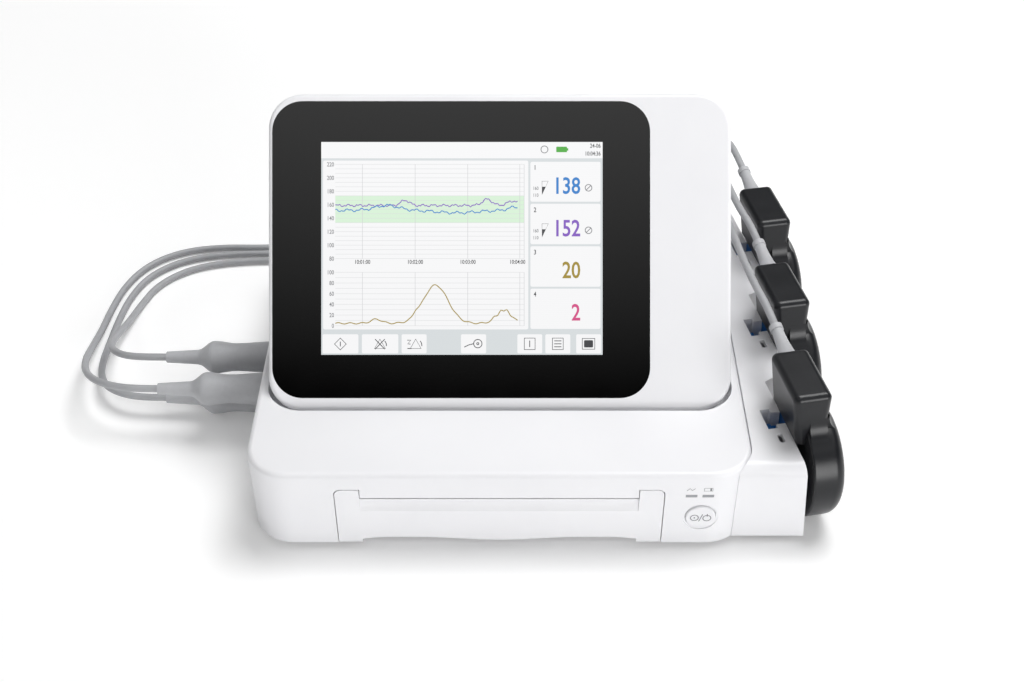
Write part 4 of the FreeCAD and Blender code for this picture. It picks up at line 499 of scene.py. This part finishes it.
run = [graph_left + i * trace_l / trace_steps for i in range(trace_steps + 1)]
upper = [86.0 + 0.5 * math.sin(i * 0.9) + 0.4 * math.sin(i * 2.3 + 1) + 3.0 * bump_at(i, 46, 4.0)
         + 3.6 * bump_at(i, 100, 4.5) + 2.6 * bump_at(i, 117, 5.0) for i in range(trace_steps + 1)]
lower = [83.2 + 0.6 * math.sin(i * 0.7 + 2) + 0.4 * math.sin(i * 1.9) + 2.8 * bump_at(i, 34, 11.0)
         - 1.4 * bump_at(i, 80, 18.0) + 1.8 * bump_at(i, 118, 6.0) for i in range(trace_steps + 1)]
swell = [18.1 + 0.4 * math.sin(i * 0.8) + 2.4 * bump_at(i, 27, 5.0) + 22.0 * bump_at(i, 66, 11.5)
         + 2.0 * bump_at(i, 53, 2.0) + 7.6 * bump_at(i, 111, 7.0)
         + 0.9 * math.sin(i * 1.4) * bump_at(i, 110, 6.0) for i in range(trace_steps + 1)]
stroke("trace_purple", list(zip(run, upper)), trace_w, 6)
stroke("trace_blue", list(zip(run, lower)), trace_w, 7)
stroke("trace_olive", list(zip(run, swell)), trace_w, 6)

# The readings, each with its channel's number, and beside the first two a wedge for loudness.
for ink, body, low in (
    ("trace_blue", "138", 92.9), ("trace_purple", "152", 68.4),
    ("trace_olive", "20", 44.3), ("figure_pink", "2", 19.9),
):
    figures(ink, body, 149.4, low, 9.6, 3, "RIGHT")
for i, y in enumerate((106.6, 82.2, 57.8, 33.6)):
    figures("figure_dark", str(i + 1), 122.4, y, 2.8, 3)
for low in (92.2, 67.7):
    stroke("figure_dark", [(127.2, low), (127.2, low + 7.8), (130.8, low + 7.8)], 0.3, 3, closed=True)
    wedge("figure_dark", [(127.2, low), (129.4, low + 4.6), (127.2, low + 4.6)], 4)
    figures("figure_grey", "160", 121.9, low + 2.8, 2.0, 3)
    figures("figure_grey", "110", 121.9, low - 1.2, 2.0, 3)
    loop("figure_grey", 154.0, low + 4.0, 1.9, sign_w, 3)
    stroke("figure_grey", [(152.7, low + 2.7), (155.3, low + 5.3)], sign_w, 3)

# The status line: a battery, a small ring and the time.
card("battery_green", 135.4, 116.7, 141.6, 119.9, 2, 0.4)
card("battery_green", 141.6, 117.6, 142.3, 119.0, 2)
loop("figure_grey", 128.6, 118.3, 2.0, sign_w, 2)
figures("figure_dark", "24-06", 161.0, 119.3, 2.4, 2, "RIGHT")
figures("figure_dark", "10:04:36", 161.0, 114.8, 2.4, 2, "RIGHT")

# The keys' signs: diamond, crossed and plain triangle, probe, frame with a bar, table and filled window.
loop("figure_dark", 11.0, 6.2, 3.4, sign_w, 3, sides=4)
stroke("figure_dark", [(11.0, 4.8), (11.0, 7.6)], sign_w, 3)
loop("figure_dark", 33.8, 5.4, 3.6, sign_w, 3, sides=3)
stroke("figure_dark", [(31.0, 3.2), (36.6, 9.0)], sign_w, 3)
stroke("figure_dark", [(36.6, 3.2), (31.0, 9.0)], sign_w, 3)
stroke("figure_dark", [(36.6, 8.0), (37.4, 6.6), (37.6, 5.0)], sign_w, 3)
loop("figure_dark", 54.4, 5.4, 3.6, sign_w, 3, sides=3)
stroke("figure_dark", [(49.6, 3.6), (52.0, 3.6)], sign_w, 3)
stroke("figure_dark", [(49.6, 8.4), (51.6, 8.4), (49.8, 6.2), (51.4, 6.2)], sign_w, 3)
stroke("figure_dark", [(57.0, 8.0), (57.8, 6.6), (58.0, 5.0)], sign_w, 3)
loop("figure_dark", 90.2, 6.4, 2.4, sign_w, 3)
loop("figure_dark", 90.2, 6.4, 0.6, sign_w, 3)
stroke("figure_dark", [(82.4, 4.4), (84.8, 5.6), (87.8, 6.4)], sign_w, 3)
stroke("figure_dark", [(117.0, 3.0), (123.2, 3.0), (123.2, 9.6), (117.0, 9.6)], sign_w, 3, closed=True)
stroke("figure_dark", [(120.1, 4.4), (120.1, 8.2)], sign_w, 3)
stroke("figure_dark", [(133.2, 3.0), (139.4, 3.0), (139.4, 9.6), (133.2, 9.6)], sign_w, 3, closed=True)
for y in (4.6, 6.3, 8.0):
    stroke("figure_dark", [(134.2, y), (138.4, y)], sign_w, 3)
stroke("figure_dark", [(150.4, 3.2), (157.6, 3.2), (157.6, 9.4), (150.4, 9.4)], sign_w, 3, closed=True)
card("figure_dark", 151.4, 4.2, 156.6, 8.4, 3, 0.6)

# Lit liquid crystal: the ink glows at the page's level, behind the sheen of the glass. The dots are
# about 0.2 mm apart; they are drawn at 0.8 mm, and very faint, so that they show.
hinge_y = 56.5
hinge_z = 52.0
screen_left = -102.9
screen_foot = 32.5
screen_proud = 0.05
screen_place = (Matrix.Translation(place(0.0, hinge_y, hinge_z)) @ Matrix.Rotation(screen_tilt, 4, "X")
                @ Matrix.Scale(0.001, 4) @ Matrix.Translation((screen_left, screen_foot, screen_proud)))
screen_inks = {
    "page_white": "#FBFBFC", "bar_grey": "#DCE1E3", "band_green": "#DDF6DC", "rule_grey": "#DEDFE0",
    "line_grey": "#D2D3D5", "figure_grey": "#8C8D90", "figure_dark": "#4A4B4E", "trace_blue": "#3F86CF",
    "trace_purple": "#8A62C4", "trace_olive": "#A89240", "figure_pink": "#D9568C",
    "battery_green": "#58B14A",
}
for ink, code in screen_inks.items():
    lit, tree, shader = new_surface(f"lit_crystal_{ink}")
    where = add_node(tree, "ShaderNodeTexCoord")
    dots = add_node(tree, "ShaderNodeTexVoronoi", {"Scale": grain(0.8), "Randomness": 0.0},
                    {"Vector": where.outputs["Object"]})
    glow = add_node(tree, "ShaderNodeMapRange", {"To Min": 0.97, "To Max": 0.93},
                    {"Value": dots.outputs["Distance"]})
    tree.links.new(glow.outputs[0], shader.inputs["Emission Strength"])
    shader.inputs["Base Color"].default_value = linear("#050505")
    shader.inputs["Emission Color"].default_value = linear(code)
    shader.inputs["Roughness"].default_value = 0.12
    picture = gather(ink, f"screen_{ink}", screen_place)
    picture.data.materials.append(lit)
    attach(picture, "display")
inked.clear()

# Printed signs on the front
# A stand-by sign on the power button, and a mains and a battery sign over the status lights.
# They are pad printed in grey ink on the white plastic.
# Pad printing ink: flat grey, slightly open where the pad lifted, with dots of about 0.3 mm.
print_ink, tree, shader = new_surface("grey_pad_printing_ink")
where = add_node(tree, "ShaderNodeTexCoord")
lifted = add_node(tree, "ShaderNodeTexNoise", {"Scale": grain(0.3), "Detail": 2.0},
                  {"Vector": where.outputs["Object"]})
tint = add_node(tree, "ShaderNodeMix",
                {"data_type": "RGBA", 6: linear("#6F7074"), 7: linear("#7E7F83")},
                {0: lifted.outputs["Fac"]})
tree.links.new(tint.outputs[2], shader.inputs["Base Color"])
shader.inputs["Roughness"].default_value = 0.55

light_sign_w = 0.35
loop("stand_by", -3.5, 0.0, 2.2, sign_w, 1)
loop("stand_by", -3.5, 0.0, 0.3, 0.4, 1, sides=10)
stroke("stand_by", [(-0.9, -2.8), (0.9, 2.8)], sign_w, 1)
loop("stand_by", 3.5, -0.2, 2.2, sign_w, 1)
stroke("stand_by", [(3.5, 1.0), (3.5, 3.2)], sign_w, 1)
stroke("light_signs", [(-9.1, -0.9), (-7.6, 0.9), (-6.2, -0.6), (-4.6, 0.9)], light_sign_w, 1)
stroke("light_signs", [(0.4, -1.1), (5.0, -1.1), (5.0, 1.1), (0.4, 1.1)], light_sign_w, 1, closed=True)
stroke("light_signs", [(4.0, -1.1), (4.0, 1.1)], 2 * light_sign_w, 1)
upright = Matrix.Rotation(math.radians(90.0), 4, "X")
for ink, body, spot in (
    ("stand_by", "power_button", (112.3, -0.6, 23.8)), ("light_signs", "base", (112.3, -4.0, 45.6)),
):
    sign = gather(ink, f"printed_{ink}", Matrix.Translation(place(*spot)) @ upright @ Matrix.Scale(0.001, 4))
    if body == "base":
        wrap = sign.modifiers.new("press", "SHRINKWRAP")
        wrap.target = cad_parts["base_top_cover"]
        wrap.wrap_method = "PROJECT"
        wrap.use_project_y = True
        wrap.use_positive_direction = True
        wrap.offset = sheet_step * 0.001
        bpy.ops.object.modifier_apply(modifier=wrap.name)
    sign.data.materials.append(print_ink)
    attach(sign, body)
inked.clear()

# Transducers
# Each is a round housing in two shells with a cable block on top, held by the blue stud on its back.
# The shells are screwed together from inside, and the cable leaves through a moulded strain relief.
# Moulded black ABS: satin, with a grain drawn at 0.6 mm, and gloss a little uneven from handling.
black_abs, tree, shader = new_surface("moulded_black_abs")
where = add_node(tree, "ShaderNodeTexCoord")
hands = add_node(tree, "ShaderNodeTexNoise", {"Scale": grain(14.0), "Detail": 4.0},
                 {"Vector": where.outputs["Object"]})
tint = add_node(tree, "ShaderNodeMix",
                {"data_type": "RGBA", 6: linear("#18191C"), 7: linear("#202124")},
                {0: hands.outputs["Fac"]})
gloss = add_node(tree, "ShaderNodeMapRange", {"To Min": 0.24, "To Max": 0.36},
                 {"Value": hands.outputs["Fac"]})
skin = add_node(tree, "ShaderNodeTexNoise", {"Scale": grain(0.6), "Detail": 2.0},
                {"Vector": where.outputs["Object"]})
bump = add_node(tree, "ShaderNodeBump", {"Strength": 0.15, "Distance": 0.00005},
                {"Height": skin.outputs["Fac"]})
tree.links.new(tint.outputs[2], shader.inputs["Base Color"])
tree.links.new(gloss.outputs[0], shader.inputs["Roughness"])
tree.links.new(bump.outputs[0], shader.inputs["Normal"])
shader.inputs["Specular IOR Level"].default_value = 0.34

# Blue moulded nylon: strong colour, satin, slightly cloudy.
blue_nylon, tree, shader = new_surface("blue_moulded_nylon")
where = add_node(tree, "ShaderNodeTexCoord")
cloud = add_node(tree, "ShaderNodeTexNoise", {"Scale": grain(5.0), "Detail": 3.0},
                 {"Vector": where.outputs["Object"]})
tint = add_node(tree, "ShaderNodeMix",
                {"data_type": "RGBA", 6: linear("#0F5A9C"), 7: linear("#176DB8")},
                {0: cloud.outputs["Fac"]})
gloss = add_node(tree, "ShaderNodeMapRange", {"To Min": 0.32, "To Max": 0.44},
                 {"Value": cloud.outputs["Fac"]})
tree.links.new(tint.outputs[2], shader.inputs["Base Color"])
tree.links.new(gloss.outputs[0], shader.inputs["Roughness"])

# Soft grey PVC: overmoulded on the cable, matt and slightly mottled.
grey_pvc, tree, shader = new_surface("soft_grey_pvc")
where = add_node(tree, "ShaderNodeTexCoord")
mottle = add_node(tree, "ShaderNodeTexNoise", {"Scale": grain(3.0), "Detail": 3.0},
                  {"Vector": where.outputs["Object"]})
tint = add_node(tree, "ShaderNodeMix",
                {"data_type": "RGBA", 6: linear("#B4B5B8"), 7: linear("#BFC0C3")},
                {0: mottle.outputs["Fac"]})
skin = add_node(tree, "ShaderNodeTexNoise", {"Scale": grain(0.7), "Detail": 2.0},
                {"Vector": where.outputs["Object"]})
bump = add_node(tree, "ShaderNodeBump", {"Strength": 0.15, "Distance": 0.00005},
                {"Height": skin.outputs["Fac"]})
tree.links.new(tint.outputs[2], shader.inputs["Base Color"])
tree.links.new(bump.outputs[0], shader.inputs["Normal"])
shader.inputs["Roughness"].default_value = 0.5

# Silvered ceramic: the round crystals behind the front shell, pale metal with a fine fired speckle.
silvered, tree, shader = new_surface("silvered_ceramic")
where = add_node(tree, "ShaderNodeTexCoord")
speckle = add_node(tree, "ShaderNodeTexNoise", {"Scale": grain(0.8), "Detail": 2.0},
                   {"Vector": where.outputs["Object"]})
tint = add_node(tree, "ShaderNodeMix",
                {"data_type": "RGBA", 6: linear("#B9B7B0"), 7: linear("#D8D6D0")},
                {0: speckle.outputs["Fac"]})
tree.links.new(tint.outputs[2], shader.inputs["Base Color"])
shader.inputs["Metallic"].default_value = 0.8
shader.inputs["Roughness"].default_value = 0.4

sides = ("front", "middle", "rear")
for side in sides:
    dress(black_abs, f"{side}_transducer_outer_shell", f"{side}_transducer_inner_shell")
    dress(blue_nylon, f"{side}_transducer_belt_stud")
    dress(grey_pvc, f"{side}_transducer_strain_relief", f"{side}_cable_plug")
    dress(silvered, f"{side}_transducer_sensor_elements")

# Sockets, mains inlet and loudspeaker
# The three signal sockets, the mains inlet and the loudspeaker's basket are moulded black nylon,
# snapped or screwed into the covers. Glass-filled nylon: dark, matt, with a short fibre streak.
black_nylon, tree, shader = new_surface("glass_filled_black_nylon")
where = add_node(tree, "ShaderNodeTexCoord")
fibre = add_node(tree, "ShaderNodeTexNoise", {"Scale": grain(1.2), "Detail": 5.0},
                 {"Vector": where.outputs["Object"]})
tint = add_node(tree, "ShaderNodeMix",
                {"data_type": "RGBA", 6: linear("#19191B"), 7: linear("#242427")},
                {0: fibre.outputs["Fac"]})
gloss = add_node(tree, "ShaderNodeMapRange", {"To Min": 0.48, "To Max": 0.62},
                 {"Value": fibre.outputs["Fac"]})
tree.links.new(tint.outputs[2], shader.inputs["Base Color"])
tree.links.new(gloss.outputs[0], shader.inputs["Roughness"])
dress(black_nylon, "plug_sockets", "mains_inlet", "speaker")

# Cables
# Three screened signal cables in a round grey PVC sheath, 4.5 mm thick and about 2.4 m long.
# Each is moulded into its transducer's strain relief and its plug; the spare length is coiled and tied.
cable_d = 4.5
table_line = 2.3
plug_tip_x = -207.6
plug_tips = ((126.5, 33.0), (110.5, 13.6), (97.0, 33.0))
plug_routes = (
    ((-236, 130.5, 31), (-246, 141, 26.5), (-250.5, 155, 20.5), (-251.5, 173, 13), (-249.5, 195, 6),
     (-246.5, 217, 2.6), (-239, 240, 2.3), (-220, 258, 2.3), (-192, 266.5, 2.3), (-150, 268.5, 2.3),
     (-98, 267.5, 2.3), (-48, 269.5, 2.3), (-8, 276, 2.3), (21.5, 284.9, 2.3), (34.7, 289.7, 2.3),
     (44.2, 298, 2.3)),
    ((-237, 114.5, 13), (-249, 123.5, 11.5), (-255.5, 137, 9), (-258.5, 155, 6), (-259, 177, 3.2),
     (-258.5, 202, 2.3), (-255.5, 227, 2.3), (-247, 250, 2.3), (-228, 267, 2.3), (-201, 275, 2.3),
     (-160, 276.5, 2.3), (-118, 275.5, 2.3), (-86, 278, 2.3), (-58.5, 284.9, 2.3), (-45.3, 289.7, 2.3),
     (-35.8, 298, 2.3)),
    ((-238, 101, 32), (-251, 110, 29), (-260, 124, 24), (-265, 142, 17.5), (-267, 163, 10),
     (-267, 187, 3.8), (-266, 212, 2.3), (-262, 238, 2.3), (-251.5, 261, 2.3), (-232, 277, 2.3),
     (-206, 283.5, 2.3), (-172, 283, 2.3), (-138.5, 284.9, 2.3), (-125.3, 289.7, 2.3), (-115.8, 298, 2.3)),
)
transducer_routes = (
    ((151.6, 121, 92.4), (147.4, 146, 93.2), (145, 172, 91.8), (143.6, 198, 87.6), (143, 223, 79.6),
     (143.6, 246, 67.2), (145.4, 266, 50), (147.8, 283, 31), (150.4, 301, 14), (152.4, 321, 3.6),
     (153, 340, 2.3), (149, 353.5, 2.3), (140, 362.5, 2.6), (127, 366, 5), (111.5, 362.5, 11)),
    ((151.6, 203, 92.4), (147.4, 228, 93.2), (146.6, 252, 88), (148.4, 272, 74.5), (151.6, 288, 55.5),
     (155, 302, 35), (158.2, 316, 16.5), (160.8, 333, 4.6), (161, 348, 2.3), (156.5, 360, 2.3),
     (147, 369.5, 2.3), (132, 375, 2.3), (110, 375, 2.3), (84, 372.5, 2.3), (58, 368, 4.5), (36, 361.5, 11)),
    ((154.8, 284, 90.6), (155.6, 300, 81), (158, 313, 63.5), (161.4, 325, 42.5), (165, 338, 21.5),
     (168, 353, 6), (169, 369, 2.3), (163.5, 380.5, 2.3), (152.5, 387.5, 2.3), (135.5, 389, 2.3),
     (108, 387.5, 2.3), (70, 384.5, 2.3), (32, 382, 2.3), (0, 378, 2.3), (-23, 371.5, 4.5), (-44, 363, 11)),
)
coil_layers = 4
layer_turns = 2.1875
coil_pitch = 5.0
coil_radius = 30.5
coil_middles = (-80.0, 0.0, 80.0)
coil_y = 324.0
coil_points = 16


def coil_marks():
    """The angles at which the coil ends a layer or a climb to the next."""
    marks = []
    angle = 0.0
    for layer in range(coil_layers):
        angle += 2 * math.pi * layer_turns
        marks.append(angle)
        if layer < coil_layers - 1:
            angle += math.pi
            marks.append(angle)
    return marks


def coil_point(angle, out=1.0):
    """The coil's line, wound clockwise from its left side, in and out again, layer on layer."""
    rate = coil_pitch / (2 * math.pi)
    radius = coil_radius
    height = 0.0
    way = -1
    last = 0.0
    for i, mark in enumerate(coil_marks()):
        here = min(angle, mark) - last
        if i % 2 == 0:
            radius += way * rate * here
        else:
            share = here / math.pi
            radius += way * rate * here * (1 - share)
            height += coil_pitch * share * share * (3 - 2 * share)
            way = -way
        if angle <= mark:
            break
        last = mark
    turn = math.pi - angle
    return Vector((radius * out * math.cos(turn), radius * out * math.sin(turn), height))


def coil_way(angle):
    """The direction of the coil's line, at one of its ends."""
    end = coil_marks()[-1]
    return (coil_point(min(angle + 0.0005, end)) - coil_point(max(angle - 0.0005, 0.0))).normalized()


# Sheath of soft PVC: matt light grey with a faint mottle, and a dull shine along the top.
sheath, tree, shader = new_surface("grey_pvc_sheath")
where = add_node(tree, "ShaderNodeTexCoord")
mottle = add_node(tree, "ShaderNodeTexNoise", {"Scale": grain(9.0), "Detail": 4.0},
                  {"Vector": where.outputs["Object"]})
tint = add_node(tree, "ShaderNodeMix",
                {"data_type": "RGBA", 6: linear("#A2A3A6"), 7: linear("#AFB0B3")},
                {0: mottle.outputs["Fac"]})
gloss = add_node(tree, "ShaderNodeMapRange", {"To Min": 0.42, "To Max": 0.55},
                 {"Value": mottle.outputs["Fac"]})
skin = add_node(tree, "ShaderNodeTexNoise", {"Scale": grain(0.6), "Detail": 2.0},
                {"Vector": where.outputs["Object"]})
bump = add_node(tree, "ShaderNodeBump", {"Strength": 0.15, "Distance": 0.00005},
                {"Height": skin.outputs["Fac"]})
tree.links.new(tint.outputs[2], shader.inputs["Base Color"])
tree.links.new(gloss.outputs[0], shader.inputs["Roughness"])
tree.links.new(bump.outputs[0], shader.inputs["Normal"])

# Where a cable leaves its transducer, how it runs into the coil, and the strap's sizes, in mm.
station_x = 168.4
station_pitch = 82.0
station_fan = 0.9
station_y = 42.5
station_turn = Matrix.Rotation(math.radians(11.0), 3, "Z")
relief_way = Vector((0.0, math.cos(math.radians(10.0)), math.sin(math.radians(10.0))))
relief_end = Vector((0.0, 23.0, 83.5)) + relief_way * 25.5
straight_out = 15.0
coil_lift = 0.6
coil_lead = 12.0
strap_w = 9.0
strap_t = 0.5
strap_in = 16.4
strap_out = 33.7
strap_play = 0.3
strap_bend = 3.0

# Hook-and-loop strap: black nylon with a soft nap, its threads drawn 0.5 mm apart.
strap, tree, shader = new_surface("black_hook_and_loop_nylon")
where = add_node(tree, "ShaderNodeTexCoord")
nap = add_node(tree, "ShaderNodeTexNoise", {"Scale": grain(0.5), "Detail": 3.0},
               {"Vector": where.outputs["Object"]})
tint = add_node(tree, "ShaderNodeMix",
                {"data_type": "RGBA", 6: linear("#18181A"), 7: linear("#303034")}, {0: nap.outputs["Fac"]})
bump = add_node(tree, "ShaderNodeBump", {"Strength": 0.5, "Distance": 0.0002},
                {"Height": nap.outputs["Fac"]})
tree.links.new(tint.outputs[2], shader.inputs["Base Color"])
tree.links.new(bump.outputs[0], shader.inputs["Normal"])
shader.inputs["Roughness"].default_value = 0.9
shader.inputs["Sheen Weight"].default_value = 0.3

for number, side in enumerate(sides):
    station = Vector((station_x + station_fan * number, station_y + station_pitch * number, 0.0))
    coil_middle = Vector((coil_middles[2 - number], coil_y, table_line + coil_lift))
    exit_point = station + station_turn @ relief_end
    points = [exit_point, station + station_turn @ (relief_end + relief_way * straight_out)]
    points += [Vector(p) for p in transducer_routes[number]]
    last = coil_marks()[-1]
    points.append(coil_middle + coil_point(last) + coil_way(last) * (cable_d + coil_lead))
    points.append(coil_middle + coil_point(last) + coil_way(last) * cable_d)
    steps = round(last / (2 * math.pi) * coil_points)
    reach = 1.0 / math.cos(math.pi / coil_points)
    points += [coil_middle + coil_point(last * (steps - i) / steps, reach) for i in range(steps + 1)]
    points.append(coil_middle + coil_point(0.0) - coil_way(0.0) * cable_d)
    foot = coil_middle - Vector((0.0, 0.0, coil_lift))
    points.append(foot + coil_point(0.0) - coil_way(0.0) * (cable_d + coil_lead))
    points += [Vector(p) for p in reversed(plug_routes[number])]
    plug_tip = Vector((plug_tip_x, *plug_tips[number]))
    points += [plug_tip - Vector((straight_out, 0.0, 0.0)), plug_tip]

    curve = bpy.data.curves.new(f"{side}_cable_line", "CURVE")
    curve.dimensions = "3D"
    spline = curve.splines.new("NURBS")
    spline.points.add(len(points) - 1)
    for knot, point in zip(spline.points, points):
        knot.co = (*place(*point), 1.0)
    spline.order_u = 3
    spline.use_endpoint_u = True
    spline.resolution_u = 5
    guide = bpy.data.objects.new(f"{side}_cable_line", curve)
    bpy.context.collection.objects.link(guide)
    bpy.context.view_layer.update()
    line = bpy.data.meshes.new_from_object(guide.evaluated_get(bpy.context.evaluated_depsgraph_get()))
    curve.bevel_depth = cable_d / 2000.0
    curve.bevel_resolution = 4
    curve.use_fill_caps = True
    bpy.context.view_layer.update()
    tube = bpy.data.meshes.new_from_object(guide.evaluated_get(bpy.context.evaluated_depsgraph_get()))
    bpy.data.objects.remove(guide)
    bpy.data.meshes.remove(line)
    cable = bpy.data.objects.new(f"{side}_cable", tube)
    bpy.context.collection.objects.link(cable)
    tube.materials.clear()
    tube.materials.append(sheath)
    tube.polygons.foreach_set("use_smooth", [True] * len(tube.polygons))
    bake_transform(cable)
    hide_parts(f"{side}_transducer_lead", f"{side}_cable_coil", f"{side}_plug_lead")

    # The tie: a hook-and-loop strap, closed round the coil's turns at its left side.
    bpy.ops.object.select_all(action="DESELECT")
    strap_top = table_line + coil_lift + (coil_layers - 1) * coil_pitch + cable_d / 2 + strap_play
    strap_size = Vector((strap_out - strap_in, strap_w, strap_top - strap_t / 2))
    strap_middle = coil_middle + Vector((-(strap_in + strap_out) / 2, 0.0, 0.0))
    strap_middle.z = strap_t / 2 + strap_size.z / 2
    bpy.ops.mesh.primitive_cube_add(size=1.0, location=place(*strap_middle), scale=strap_size * 0.001)
    tie = bpy.context.object
    tie.name = f"{side}_cable_tie"
    bpy.ops.object.transform_apply(location=True, rotation=True, scale=True)
    for edge in tie.data.edges:
        a, b = (tie.data.vertices[i].co for i in edge.vertices)
        edge.select = abs(a.y - b.y) > 0.001
    for corner in tie.data.vertices:
        corner.select = False
    for face in tie.data.polygons:
        face.select = False
    bpy.ops.object.mode_set(mode="EDIT")
    bpy.ops.mesh.select_mode(type="EDGE")
    bpy.ops.mesh.bevel(offset=strap_bend * 0.001, segments=5, affect="EDGES")
    bpy.ops.mesh.select_mode(type="FACE")
    bpy.ops.mesh.select_all(action="DESELECT")
    bpy.ops.object.mode_set(mode="OBJECT")
    for face in tie.data.polygons:
        face.select = abs(face.normal.y) > 0.9
    bpy.ops.object.mode_set(mode="EDIT")
    bpy.ops.mesh.delete(type="FACE")
    bpy.ops.object.mode_set(mode="OBJECT")
    wall = tie.modifiers.new("wall", "SOLIDIFY")
    wall.thickness = strap_t * 0.001
    wall.offset = 0.0
    bpy.ops.object.modifier_apply(modifier=wall.name)
    bpy.ops.object.shade_smooth_by_angle(angle=math.radians(40.0))
    tie.data.materials.append(strap)
    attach(tie, "base")
